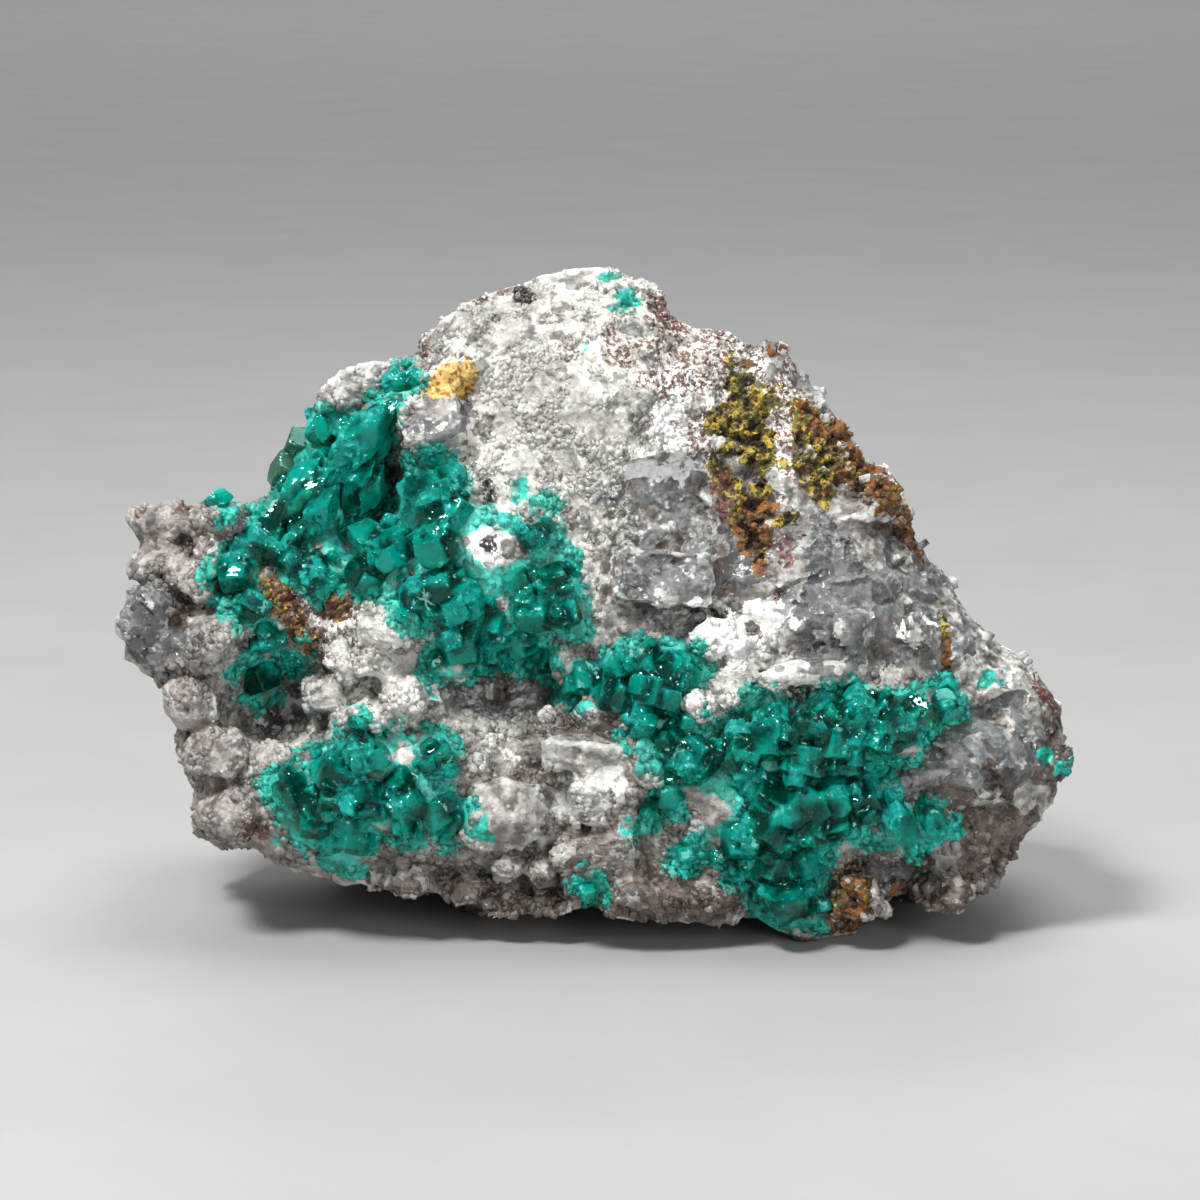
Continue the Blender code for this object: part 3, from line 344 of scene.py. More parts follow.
def green_field(a, b):
    """How far in mm each (a, b) lies outside the nearest crystal's middle, less its radius."""
    best = np.full(np.shape(a), 99.0)
    for at_a, at_b, radius in CRYSTAL_SPOTS:
        small = 0.6 if radius < 1.0 else 0.0
        best = np.minimum(best, np.hypot(a - at_a, b - at_b) - radius + small)
    return best


# Places in the crystal masses where the rock shows: a, b and radius.
GAPS = [
    (-10.7, 39.5, 2.5), (-19.1, 18.0, 1.2), (-9.7, 33.3, 0.8), (10.8, 13.0, 2.0), (9.8, 23.4, 1.3),
    (25.4, 8.2, 1.0), (-31.6, 34.0, 1.7), (-30.2, 31.0, 1.4), (-26.4, 33.2, 1.3),
    (-33.0, 36.0, 1.1), (-28.8, 29.2, 0.9),
]

# The rock's surface. Cleavage and chipping leave flats from a centimetre to a millimetre across.
# FACETS has for each kind of place their width in mm, how hollow each is, its tilt and its bowl.
CLEAVAGE = 3.4
FACETS = {
    "back": [(9.0, 0.5), (4.2, 0.6)],
    "back, fine": [(1.9, 0.8, 0.5, 0.4)],
    "front": [(6.0, 0.4), (2.8, 0.45)],
    "plain": [(1.5, 0.5, 0.7, 0.35)],
    "sugar": [(1.9, 0.26), (0.9, 0.2, 0.8, 0.3)],
    "spar": [(CLEAVAGE, 0.17, 1.5, 0.3)],
}


def stretched(spot):
    """Space drawn out along Z, so that the spar's cleavage cells are low and wide."""
    return Vector((spot.x, spot.y, spot.z * 1.3))


def broken_facets(point, cell, hollow, tilt=0.3, bowl=0.55):
    """How far a broken surface stands out: tilted flats, hollow or, if negative, bulging."""
    sign = 1 if hollow > 0 else -1
    lowest = 9.0
    for seed in noise.voronoi(point / (cell * MM))[1]:
        lean = noise.cell_vector(seed) * 2 - Vector((1, 1, 1))
        off = point / (cell * MM) - seed
        height = sign * (off.dot(lean) * tilt + lean.x * 0.12) + off.length_squared * bowl
        lowest = min(lowest, height)
    return sign * (lowest - 0.12) * abs(hollow) * cell * MM


def relief(kind, spot):
    """How far one kind of place stands out at spot, in metres."""
    return sum(broken_facets(spot, *facet) for facet in FACETS[kind])


# Sugary, cleaved, smooth and rusty places on the front: a, b, half width, half height and turn.
SUGAR = [
    (-7, 53, 17, 16, 0), (10, 57, 11, 6, -15), (-21, 26, 13, 8, 0), (11, 28, 9, 7, 0),
    (-38, 24, 9, 18, 0), (0, 47, 10, 12, 0), (-8, 14, 15, 10, 0), (-10.6, 39.6, 3, 3, 0),
]
SPAR = [
    (6.8, 44.8, 4.8, 3.8, 0), (6.7, 36.2, 5.8, 3.6, -3), (14.6, 37.0, 2.8, 3.8, 0),
    (25.8, 34.0, 10.0, 7.8, -20), (37.8, 18.0, 9, 6, 8), (-16.5, 51, 3.6, 3.0, 16),
    (-44.4, 30.8, 3.6, 4.4, 0), (30.8, 5.8, 5, 2.4, 0), (32, 40, 5, 3, -40),
]
SMOOTH = [
    (-14.9, 55.9, 3.2, 2.4, 30), (-16.0, 51.0, 4.4, 3.4, 16), (-1.4, 18.9, 5.0, 2.2, -6),
    (-9.6, 12.6, 4.6, 3.8, 22), (0.4, 8.6, 4.6, 3.2, 14), (8.0, 5.0, 7.5, 3.0, -4),
    (22.4, 26.8, 7, 2, 3),
]
LIMONITE = [
    (14.8, 50.6, 3.2, 6.6, 3), (15.6, 43.6, 2.0, 4.4, 0), (22.6, 49.0, 2.6, 5.4, 12),
    (27.0, 47.0, 2.8, 6.4, 38), (30.8, 42.6, 1.8, 4.6, 25), (25.0, 4.0, 3.7, 4.2, 8),
    (-31.8, 33.8, 1.9, 4.4, 30), (-28.8, 29.4, 1.1, 1.8, 0), (-26.4, 33.2, 2.2, 1.3, 20),
    (-30.0, 31.0, 1.5, 2.2, 0), (18.0, 59.2, 2.0, 1.2, 0), (34.9, 29.2, 0.5, 4.4, 4),
    (16.8, 39.6, 1.0, 3.2, -10), (18.6, 41.8, 2.2, 0.8, 25),
]


def nearness(a, b, spots):
    """1 in the middle of the nearest spot, 0 at its edge and down to -1 outside.

    A spot is (a, b, half width, half height, turn in degrees).
    """
    best = np.full(np.shape(a), -1.0)
    for at_a, at_b, half_width, half_height, turn in spots:
        c, s = math.cos(math.radians(turn)), math.sin(math.radians(turn))
        along = ((a - at_a) * c + (b - at_b) * s) / half_width
        across = ((b - at_b) * c - (a - at_a) * s) / half_height
        best = np.maximum(best, 1 - np.hypot(along, across))
    return np.clip(best, -1, 1)


def arrays_of(mesh):
    """A mesh's points and point normals as arrays."""
    points = np.empty(len(mesh.vertices) * 3, np.float32)
    mesh.vertices.foreach_get("co", points)
    normals = np.empty(len(mesh.vertices) * 3, np.float32)
    mesh.vertices.foreach_get("normal", normals)
    return points.reshape(-1, 3).astype(float), normals.reshape(-1, 3).astype(float)


def new_object(name, mesh):
    obj = bpy.data.objects.new(name, mesh)
    bpy.context.collection.objects.link(obj)
    return obj


def with_modifier(obj, kind, **settings):
    """Adds a modifier and applies it."""
    modifier = obj.modifiers.new(kind.title(), kind)
    for key, value in settings.items():
        setattr(modifier, key, value)
    graph = bpy.context.evaluated_depsgraph_get()
    made = bpy.data.meshes.new_from_object(obj.evaluated_get(graph))
    obj.modifiers.clear()
    old, obj.data = obj.data, made
    bpy.data.meshes.remove(old)


def held_in_box(points, margin=0.8 * MM):
    """The points, with those within margin of the CAD box or beyond it pressed back inside."""
    low, high = np.array(cad_box[0]), np.array(cad_box[1])
    over, under = points - (high - margin), (low + margin) - points
    under[:, 2] = -1
    pressed = np.where(over > 0, high - margin * np.exp(-np.maximum(over, 0) / margin), points)
    pressed = np.where(under > 0, low + margin * np.exp(-np.maximum(under, 0) / margin), pressed)
    return np.maximum(pressed, [low[0], low[1], 0])


ROCK_VOXEL, ROCK_TRIANGLES = 0.35 * MM, 196_000
rock_mesh = bpy.data.meshes.new("rock")
rock.to_mesh(rock_mesh)
rock.free()
rock_piece = new_object("rock", rock_mesh)
with_modifier(rock_piece, "REMESH", mode="VOXEL", voxel_size=ROCK_VOXEL)
points, normals = arrays_of(rock_piece.data)
a, b = seen(points)
facing_eye = -(normals @ np.array(AWAY))
front = smooth_step(facing_eye, -0.1, 0.35)
bare = np.where(facing_eye < -0.2, 1.0, smooth_step(green_field(a, b), -0.4, 1.2))
sugar_share = smooth_step(nearness(a, b, SUGAR), -0.1, 0.25) * front
sugar_share *= smooth_step(-nearness(a, b, SMOOTH), -0.2, 0.1)
spar_share = smooth_step(nearness(a, b, SPAR), 0.0, 0.2) * front
rust_share = smooth_step(nearness(a, b, LIMONITE), -0.05, 0.25) * front
smooth_share = smooth_step(nearness(a, b, SMOOTH), 0.0, 0.25) * front
moved = points.copy()
for i, point in enumerate(points):
    spot = Vector(point) - ORIGIN
    on_front, spar, rust = front[i], spar_share[i], rust_share[i]
    sugar = sugar_share[i] * (1 - spar) * (1 - rust)
    plain = (1 - spar) * (1 - rust) * (1 - sugar)
    broad = fine = 0.0
    if on_front < 1:
        broad += (1 - on_front) * relief("back", spot)
        broad += (1 - on_front) * relief("back, fine", spot)
    if on_front > 0:
        level = on_front * (1 - 0.6 * spar - 0.25 * sugar)
        broad += level * relief("front", spot)
        if plain > 0:
            fine += on_front * plain * relief("plain", spot)
        if sugar > 0:
            fine += sugar * relief("sugar", spot)
        if spar > 0:
            fine += spar * relief("spar", stretched(spot))
        if rust > 0:
            spongy = abs(noise.noise(spot / (1.4 * MM))) * 1.2
            spongy -= abs(noise.noise(spot / (0.6 * MM)))
            fine -= rust * spongy * 1.3 * MM
    calm = 1 - 0.75 * smooth_share[i]
    moved[i] += normals[i] * calm * (broad * bare[i] + fine * (0.3 + 0.7 * bare[i]))

# The underside is clear of the table, apart from the feet, which are worn flat.
for i in np.nonzero(moved[:, 2] < 9 * MM)[0]:
    x, y, height = moved[i][0], moved[i][1], moved[i][2] / MM
    spot = Vector((x, y, 0)) - ORIGIN
    hollow = UNDERSIDE_LIFT * (1 + 0.5 * noise.noise(spot / (12 * MM)))
    hollow += 2.2 * broken_facets(spot, 8.0, 0.5) / MM
    clear = hollow = max(1.0, hollow)
    drawn = height
    for foot_a, foot_depth in FEET:
        foot = on_plane(foot_a, 0, foot_depth)
        away = math.hypot(x - foot.x, y - foot.y) / MM
        share = 1 - smooth_step(away, SEAT_RADIUS * 0.7, FOOT_REACH)
        clear = min(clear, hollow * (1 - share) - 0.6 * share)
        if height < 7:
            drawn = min(drawn, height + (-0.6 - height) * share)
    moved[i][2] = max(drawn, clear, 0.0) * MM
moved = held_in_box(moved)
rock_piece.data.vertices.foreach_set("co", moved.astype(np.float32).ravel())
rock_piece.data.update()
triangles = sum(len(face.vertices) - 2 for face in rock_piece.data.polygons)
if triangles > ROCK_TRIANGLES:
    # The back is thinned first.
    group = rock_piece.vertex_groups.new(name="thin")
    weights = 1 - front * 0.65
    for step in range(11):
        chosen = np.nonzero(np.round(weights * 10) == step)[0].tolist()
        group.add(chosen, step / 10, "REPLACE")
    with_modifier(
        rock_piece, "DECIMATE", ratio=ROCK_TRIANGLES / triangles, vertex_group="thin",
        use_collapse_triangulate=True,
    )
    rock_piece.vertex_groups.clear()

# The rock's markings, as shares at each point that the material sharpens with noise.
points, normals = arrays_of(rock_piece.data)


def hollowness(mesh, points, normals, times, reach):
    """How deep each point lies below its surroundings: 1 at reach mm, and -1 as far above them."""
    edges = np.empty(len(mesh.edges) * 2, np.int32)
    mesh.edges.foreach_get("vertices", edges)
    edges = edges.reshape(-1, 2)
    count = np.bincount(edges.ravel(), minlength=len(points))

    def spread(values):
        total = np.bincount(edges[:, 0], weights=values[edges[:, 1]], minlength=len(values))
        total += np.bincount(edges[:, 1], weights=values[edges[:, 0]], minlength=len(values))
        return total / count

    soft = points.copy()
    for _ in range(times):
        soft = np.stack([spread(soft[:, axis]) for axis in range(3)], axis=1)
    depth = ((soft - points) * normals).sum(1) / (reach * MM)
    return np.clip(spread(depth), -1, 1)


cavity = hollowness(rock_piece.data, points, normals, 5, 0.16)
hollow = hollowness(rock_piece.data, points, normals, 40, 0.9)

# Where each marking lies on the front: a, b, half width, half height and turn.
MARKINGS = {
    "spar": SPAR,
    "limonite": LIMONITE,
    "orange": [
        (27.5, 47.0, 3.4, 7.0, 38), (31, 42.6, 2.4, 5, 25), (25.0, 4.0, 4, 5, 8),
        (18.2, 59.2, 3, 2, 0), (16.8, 40, 2, 3, 0), (34.9, 27.4, 1, 3, 4), (24.6, 50, 1.6, 4, 20),
    ],
    "speckle": [
        (11.5, 57.6, 9, 5.4, -12), (10.6, 50.4, 2.0, 4.0, 0), (19.0, 52.0, 3.4, 7.0, 0),
        (6.4, 62.4, 1.6, 4.0, 10),
    ],
    "wine": [
        (-36.2, 42.6, 4.0, 1.3, 5), (-34.8, 11.2, 1.6, 1.1, 0), (-30.8, 33.0, 2.8, 4.2, 28),
        (-26.2, 33.3, 2.8, 1.7, 20), (6.8, 64.0, 1.2, 2.6, 20), (12.4, 44.8, 1.0, 2.2, 0),
        (18.6, 37.6, 1.5, 2.4, -20), (34.6, 24.6, 1.6, 1.2, 0), (-23.2, 32.2, 0.5, 0.5, 0),
        (-8.8, 65.0, 2.4, 0.5, 25), (-17.0, 60.0, 0.5, 1.8, 0), (-3.0, 59.0, 1.2, 0.4, -20),
        (44.3, 24.9, 2.4, 0.6, -45),
    ],
    "ochre": [(-14.7, 55.7, 3.3, 1.9, 36)],
    "black": [
        (-7.2, 64.1, 1.1, 1.0, 0), (-11.0, 44.8, 1.1, 1.5, 0), (-10.7, 39.5, 1.0, 1.0, 20),
    ],
    "white": [
        (-5, 53, 16, 16, 0), (12, 56, 10, 6, -15), (-21, 26, 11, 8, 0), (12, 28, 9, 7, 0),
        (0.4, 14.4, 4.4, 3.2, 0), (22.4, 27.0, 9, 2.4, 3), (-10.6, 39.6, 2.4, 2.4, 0),
        (-4, 37, 9, 8, 0), (-20, 34, 8, 5, 0), (39.5, 25.0, 4.5, 3.0, -40),
        (40.0, 15.4, 4.5, 2.4, 10),
    ],
    "snow": [
        (0.6, 14.3, 3.4, 2.5, -4), (32.4, 30.4, 1.7, 1.3, -15), (8.4, 52.0, 3.0, 5.0, 5),
        (8.0, 47.6, 5.4, 1.6, 14), (-10.6, 39.6, 2.6, 2.6, 0), (16.4, 57.6, 3.0, 2.0, 0),
        (14.0, 31.0, 4.0, 3.0, 0), (-38.2, 38.2, 1.2, 2.2, 0), (18.0, 49.5, 1.2, 5.0, 4),
        (-31.0, 32.8, 3.8, 6.0, 28), (-26.2, 33.2, 4.2, 2.8, 20),
    ],
    "brown": [
        (40, 9, 8, 6, 0), (-9, 3.4, 14, 2.4, 0), (47, 17, 2, 9, 0), (8.0, 4.6, 12, 4.6, 0),
        (34, 4.6, 6, 2.4, 0),
    ],
}
# Teal specks and stains away from the crystals, where the rock's own surface is dioptase.
MORE_TEAL = [
    (1.2, 66.2, 1.0, 0.5, 0), (2.6, 64.4, 0.5, 0.9, 20), (-1.0, 58.3, 0.5, 2.4, 12),
    (-6.0, 41.6, 2.6, 3.6, 0), (3.5, 28.0, 3.6, 2.4, 0), (8, 9.8, 2.8, 1.2, 0),
    (44.8, 18.3, 0.7, 0.7, 0), (11.8, 32.3, 0.7, 0.5, 0), (39.3, 25.8, 1.4, 1.0, 0),
    (-2.0, 31.0, 3.0, 4.0, 0), (5.6, 11.6, 3.0, 2.0, 0), (-12.6, 10.4, 2.4, 1.6, 0),
]


def set_attribute(mesh, name, values):
    layer = mesh.attributes.new(name, "FLOAT", "POINT")
    layer.data.foreach_set("value", np.ascontiguousarray(values, np.float32))


# The specimen's height and half its width in the display plane, in mm.
DISPLAY_HEIGHT, HALF_WIDTH = 68, 48


def noises(points):
    """A few kinds of variation at each point, which markings and grains share."""
    kinds = {"big": [], "middle": [], "patch": [], "cleavage": [], "vein": []}
    for point in points:
        spot = Vector(point) - ORIGIN
        kinds["big"].append(noise.fractal(spot / (11 * MM), 1.0, 2.0, 3) + 0.5)
        kinds["middle"].append(noise.fractal(spot / (2.6 * MM), 0.9, 2.0, 3) + 0.5)
        kinds["patch"].append(noise.cell(noise.voronoi(spot / (1.1 * MM))[1][0] * 7.3) * 0.5 + 0.5)
        away, seeds = noise.voronoi(stretched(spot) / (CLEAVAGE * MM))
        kinds["cleavage"].append(noise.cell(seeds[0] * 7.3) * 0.5 + 0.5)
        kinds["vein"].append(1 - (away[1] - away[0]) * 7)
    return {kind: np.clip(values, 0, 1) for kind, values in kinds.items()}


def paint(mesh, points, shared, front, cavity, hollow):
    """Gives a mesh the rock's markings at each of its points."""
    a, b = seen(points)
    for name, values in shared.items():
        set_attribute(mesh, name, values)
    for name, spots in MARKINGS.items():
        set_attribute(mesh, name, (nearness(a, b, spots) + 1) * front - 1)
    teal = np.maximum(np.clip(1 - green_field(a, b) / 1.1, -1, 1), nearness(a, b, MORE_TEAL))
    teal = np.minimum(teal, 0.3 - 2 * nearness(a, b, [(*gap, gap[2], 0) for gap in GAPS]))
    set_attribute(mesh, "teal", (teal + 1) * front - 1)
    set_attribute(mesh, "front", front)
    set_attribute(mesh, "height", b / DISPLAY_HEIGHT)
    set_attribute(mesh, "across", a / HALF_WIDTH)
    set_attribute(mesh, "cavity", cavity)
    set_attribute(mesh, "hollow", hollow)


rock_bm = bmesh.new()
rock_bm.from_mesh(rock_piece.data)
rock_surface = BVHTree.FromBMesh(rock_bm)
rock_bm.free()
# The front's markings stay off what the eye can't see.
front = smooth_step(-(normals @ np.array(AWAY)), -0.25, 0.2)
for i in np.nonzero(front)[0]:
    line = Vector(points[i]) - EYE
    hit = rock_surface.ray_cast(EYE, line.normalized())[3]
    if hit and hit < line.length - 3 * MM:
        front[i] = 0
paint(rock_piece.data, points, noises(points), front, cavity, hollow)


class Wire:
    """An output socket of a shader node that Python's operators work on."""

    def __init__(self, tree, socket):
        self.tree, self.socket = tree, socket

    def put(self, target):
        self.tree.links.new(self.socket, target)

    def math(self, operation, *others, clamp=False):
        node = self.tree.nodes.new("ShaderNodeMath")
        node.operation, node.use_clamp = operation, clamp
        for value, target in zip((self, *others), node.inputs):
            if isinstance(value, Wire):
                value.put(target)
            else:
                target.default_value = value
        return Wire(self.tree, node.outputs[0])

    def __add__(self, other):
        return self.math("ADD", other)

    def __mul__(self, other):
        return self.math("MULTIPLY", other)

    def __sub__(self, other):
        return self.math("SUBTRACT", other)

    def __rsub__(self, other):
        return (self * -1) + other

    __radd__ = __add__
    __rmul__ = __mul__

    def between(self, low, high):
        """0 where this is below low, 1 where it is above high, and smooth in between."""
        return make(
            self.tree,
            "ShaderNodeMapRange",
            {"interpolation_type": "SMOOTHSTEP"},
            {"Value": self, "From Min": low, "From Max": high},
        )

    def clamped(self):
        return self.math("ADD", 0.0, clamp=True)

    def vector(self, operation, other, out=0):
        settings = {"operation": operation}
        return make(self.tree, "ShaderNodeVectorMath", settings, {0: self, 1: other}, out)

    def also(self, output):
        """Another output of the node that this one comes from."""
        return Wire(self.tree, self.socket.node.outputs[output])


def make(tree, kind, settings=(), values=(), out=0):
    """Adds a node and returns one of its outputs as a Wire."""
    node = tree.nodes.new(kind)
    for key, value in dict(settings).items():
        setattr(node, key, value)
    for key, value in dict(values).items():
        target = node.inputs[key]
        if isinstance(value, Wire):
            value.put(target)
        elif isinstance(value, tuple) and len(value) == 3 and target.type == "RGBA":
            target.default_value = (*value, 1)
        else:
            target.default_value = value
    return Wire(tree, node.outputs[out])


def mixed(share, first, second):
    """first where share is 0 and second where it is 1. Both are colours."""
    tree = next(value.tree for value in (share, first, second) if isinstance(value, Wire))
    node = tree.nodes.new("ShaderNodeMix")
    node.data_type = "RGBA"
    inputs = (node.inputs[0], node.inputs[6], node.inputs[7])
    for value, target in zip((share, first, second), inputs):
        if isinstance(value, Wire):
            value.put(target)
        elif isinstance(value, tuple):
            target.default_value = (*value, 1)
        else:
            target.default_value = value
    return Wire(tree, node.outputs[2])


def new_material(name):
    """A material with its tree, its Principled node and its Object coordinates."""
    material = bpy.data.materials.new(name)
    material.use_nodes = True
    tree = material.node_tree
    shader = tree.nodes["Principled BSDF"]
    return material, tree, shader, make(tree, "ShaderNodeTexCoord", out=3)


def mottle(tree, place, scale, detail=4.0, rough=0.6):
    """Noise from 0 to 1 with features 1 / scale mm wide."""
    values = {"Vector": place, "Scale": scale / MM, "Detail": detail, "Roughness": rough}
    return make(tree, "ShaderNodeTexNoise", {}, values)


def cells(tree, place, size):
    """A colour for each of the cells about size mm across that space is parted into."""
    values = {"Vector": place, "Scale": 1 / (size * MM)}
    return make(tree, "ShaderNodeTexVoronoi", {}, values, out=1)


def flats(place, cell):
    """Heights in mm of small flats, one to a cell, that lean at random."""
    off = place.vector("SUBTRACT", cell.also("Position"))
    return off.vector("DOT_PRODUCT", cell.vector("SUBTRACT", (0.5, 0.5, 0.5)), out=1) * (1 / MM)


def attribute(tree, name):
    return make(tree, "ShaderNodeAttribute", {"attribute_name": name}, out=2)


# The rock's colours. Each kind of stone goes from its dark colour to its light one.
PLAIN = (0.15, 0.14, 0.132), (0.47, 0.45, 0.425)
MAUVE = (0.14, 0.122, 0.114), (0.43, 0.392, 0.372)
DULL = (0.15, 0.13, 0.12), (0.46, 0.42, 0.39)
WHITE = (0.48, 0.466, 0.43), (0.77, 0.75, 0.705)
SPAR_GREY, SPAR_VEIN = ((0.040, 0.047, 0.053), (0.165, 0.178, 0.183)), (0.42, 0.42, 0.41)
BROWN = (0.032, 0.021, 0.016), (0.155, 0.112, 0.092)
SNOW = (0.62, 0.62, 0.60), (0.95, 0.95, 0.94)
BACK_RUST = (0.16, 0.07, 0.03), (0.42, 0.25, 0.13)
# Dirt with painted shade for the crevices, and a painted highlight for the ridges.
CREVICE_DIRT_AND_SHADE, PAINTED_RIDGE_HIGHLIGHT = (0.085, 0.065, 0.055), (0.84, 0.83, 0.81)
SPECKLE = (0.05, 0.018, 0.010), (0.24, 0.09, 0.05)
OLIVE, YELLOW = ((0.10, 0.10, 0.012), (0.46, 0.38, 0.06)), (0.66, 0.42, 0.02)
# The darker of these two is painted shade for the pits in the limonite.
IRON_SPECK, PAINTED_PIT_SHADE = (0.045, 0.022, 0.008), (0.018, 0.010, 0.006)
ORANGE = (0.050, 0.016, 0.007), (0.31, 0.10, 0.015)
WINE = (0.025, 0.010, 0.010), (0.22, 0.085, 0.065)
OCHRE = (0.78, 0.52, 0.17), (0.30, 0.13, 0.01)
MANGANESE = (0.012, 0.010, 0.009)
TEAL = (0.0, 0.20, 0.15), (0.02, 0.62, 0.52)
CALCITE_IOR = 1.56
# How ragged the edge of a marking is. Those that aren't here are at 1.
RAGGED = {"limonite": 0.7, "ochre": 0.4, "black": 0.5}

material, tree, shader, place = new_material("calcite and quartz")
big, middle = attribute(tree, "big"), attribute(tree, "middle")
patch, cleavage, vein = (attribute(tree, name) for name in ("patch", "cleavage", "vein"))
fine = mottle(tree, place, 1.5, 4)
speck = mottle(tree, place, 2.2, 2)
small_cell = cells(tree, place, 0.5)
leaning = flats(place, small_cell)
small_patch = small_cell.vector("DOT_PRODUCT", (0.4, 0.3, 0.3), out=1)
cavity_wire, hollow_wire = attribute(tree, "cavity"), attribute(tree, "hollow")
on_front = attribute(tree, "front")
left = attribute(tree, "across").between(-0.5, -0.8)
low_side = attribute(tree, "height").between(0.36, 0.02)
stain = {}
for name in MARKINGS:
    ragged = (middle - 0.5) * 1.5 * RAGGED.get(name, 1.0) + (fine - 0.5) * 1.1
    stain[name] = (attribute(tree, name) + ragged).between(0.0, 0.16)
# White calcite, mauve on the left and dull near the table.
grains = patch * 0.5 + small_patch * 0.3 + (fine - 0.5) * 0.6
colour = mixed(grains.between(0.15, 0.75), *PLAIN)
colour = mixed(left * 0.85, colour, mixed(grains.between(0.1, 0.8), *MAUVE))
colour = mixed(low_side * 0.85, colour, mixed(grains.between(0.1, 0.8), *DULL))
white = mixed(grains.between(0.05, 0.65), *WHITE)
colour = mixed(stain["white"] * (1 - big.between(0.55, 0.75) * 0.5) * 0.9, colour, white)
# Grey spar, whose cleavage cells differ and have paler veins between them.
spar_grey = cleavage + (middle - 0.5) * 0.5 + (fine - 0.5) * 0.25
spar_colour = mixed(spar_grey.between(0.0, 1.0), *SPAR_GREY)
veins = (vein + (fine - 0.5) * 0.8).between(0.3, 0.9) * 0.35
spar_colour = mixed(veins, spar_colour, SPAR_VEIN)
colour = mixed(stain["spar"] * 0.92, colour, spar_colour)
colour = mixed(stain["brown"] * 0.92, colour, mixed(grains.between(0.1, 0.8), *BROWN))
colour = mixed(stain["snow"] * 0.9, colour, mixed(grains.between(0.1, 0.5), *SNOW))
# The back, with brown stains and cleavage faces.
back = (1 - on_front).clamped()
stained = (big + (middle - 0.5) * 0.9 + (fine - 0.5) * 0.5).between(0.55, 0.85)
colour = mixed(back * stained * 0.6, colour, mixed(fine, *BACK_RUST))
colour = mixed(back * cleavage.between(0.62, 0.72) * 0.7, colour, spar_colour)
# Crevices darkened by dirt and by painted shade, less near the table, and painted highlights on the
# convex ridges.
sunk = hollow_wire.between(0.1, 0.9) * 0.6 + cavity_wire.between(0.1, 0.8) * 0.45
sunk = sunk * (1 - (stain["white"] + stain["snow"]).clamped() * 0.88) * (1 - low_side * 0.4)
colour = mixed(sunk.clamped(), colour, CREVICE_DIRT_AND_SHADE)
# Painted highlight on the convex ridges, weaker near the table and on the spar, the left and the
# brown stone.
calm = (stain["spar"] * 0.7 + left * 0.6 + stain["brown"] * 0.8).clamped()
ridge_highlight_share = cavity_wire.between(-0.15, -0.8) * (0.5 - low_side * 0.2) * (1 - calm)
colour = mixed(ridge_highlight_share, colour, PAINTED_RIDGE_HIGHLIGHT)
# Iron: brown specks, the olive, yellow and orange limonite, wine-red stains and an ochre face.
near_specks = (attribute(tree, "speckle") + (middle - 0.5)).between(-0.1, 0.3)
specks = speck.between(0.49, 0.54) * near_specks
colour = mixed(specks * 0.9, colour, mixed(fine, *SPECKLE))
rust = mixed(patch.between(0.3, 0.9), *OLIVE)
rust = mixed(small_patch.between(0.60, 0.70) * 0.8, rust, YELLOW)
rust = mixed(speck.between(0.53, 0.58), rust, IRON_SPECK)
orange = mixed(grains.between(0.2, 0.7), *ORANGE)
rust = mixed((stain["orange"] * (0.35 + patch * 1.2)).clamped() * 0.95, rust, orange)
# Painted shade in the limonite's pits, where the surface is hollow.
rust = mixed(cavity_wire.between(0.05, 0.5) * 0.9, rust, PAINTED_PIT_SHADE)
colour = mixed(stain["limonite"] * 0.97, colour, rust)
wine = mixed(fine.between(0.35, 0.65), *WINE)
colour = mixed(stain["wine"] * speck.between(0.40, 0.46) * 0.92, colour, wine)
colour = mixed(stain["ochre"], colour, mixed(fine.between(0.50, 0.60), *OCHRE))
colour = mixed(stain["black"] * speck.between(0.36, 0.44), colour, MANGANESE)
# Dioptase too fine to stand out, round the crystals.
teal = attribute(tree, "teal") + (fine - 0.5) * 1.6 + (middle - 0.5) * 1.6
colour = mixed(teal.between(0.15, 0.6) * 0.95, colour, mixed(grains.between(0.15, 0.7), *TEAL))
colour.put(shader.inputs["Base Color"])
rough = 0.42 - stain["spar"] * 0.2 + stain["limonite"] * 0.4 + (small_patch - 0.5) * 0.7
rough.clamped().put(shader.inputs["Roughness"])
shader.inputs["IOR"].default_value = CALCITE_IOR
grain = leaning * 0.9 + mottle(tree, place, 4.0, 2, 0.65) * 0.10
grain = grain * (1 - attribute(tree, "spar").clamped() * 0.6)
grain = grain + flats(place, cells(tree, place, 1.4)) * back * 0.9
bump = make(tree, "ShaderNodeBump", {}, {"Height": grain, "Strength": 0.9, "Distance": MM})
bump.put(shader.inputs["Normal"])
rock_piece.data.materials.append(material)
stone = material
rock_piece.data.polygons.foreach_set("use_smooth", [False] * len(rock_piece.data.polygons))
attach(rock_piece, "root")
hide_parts("matrix_rock")


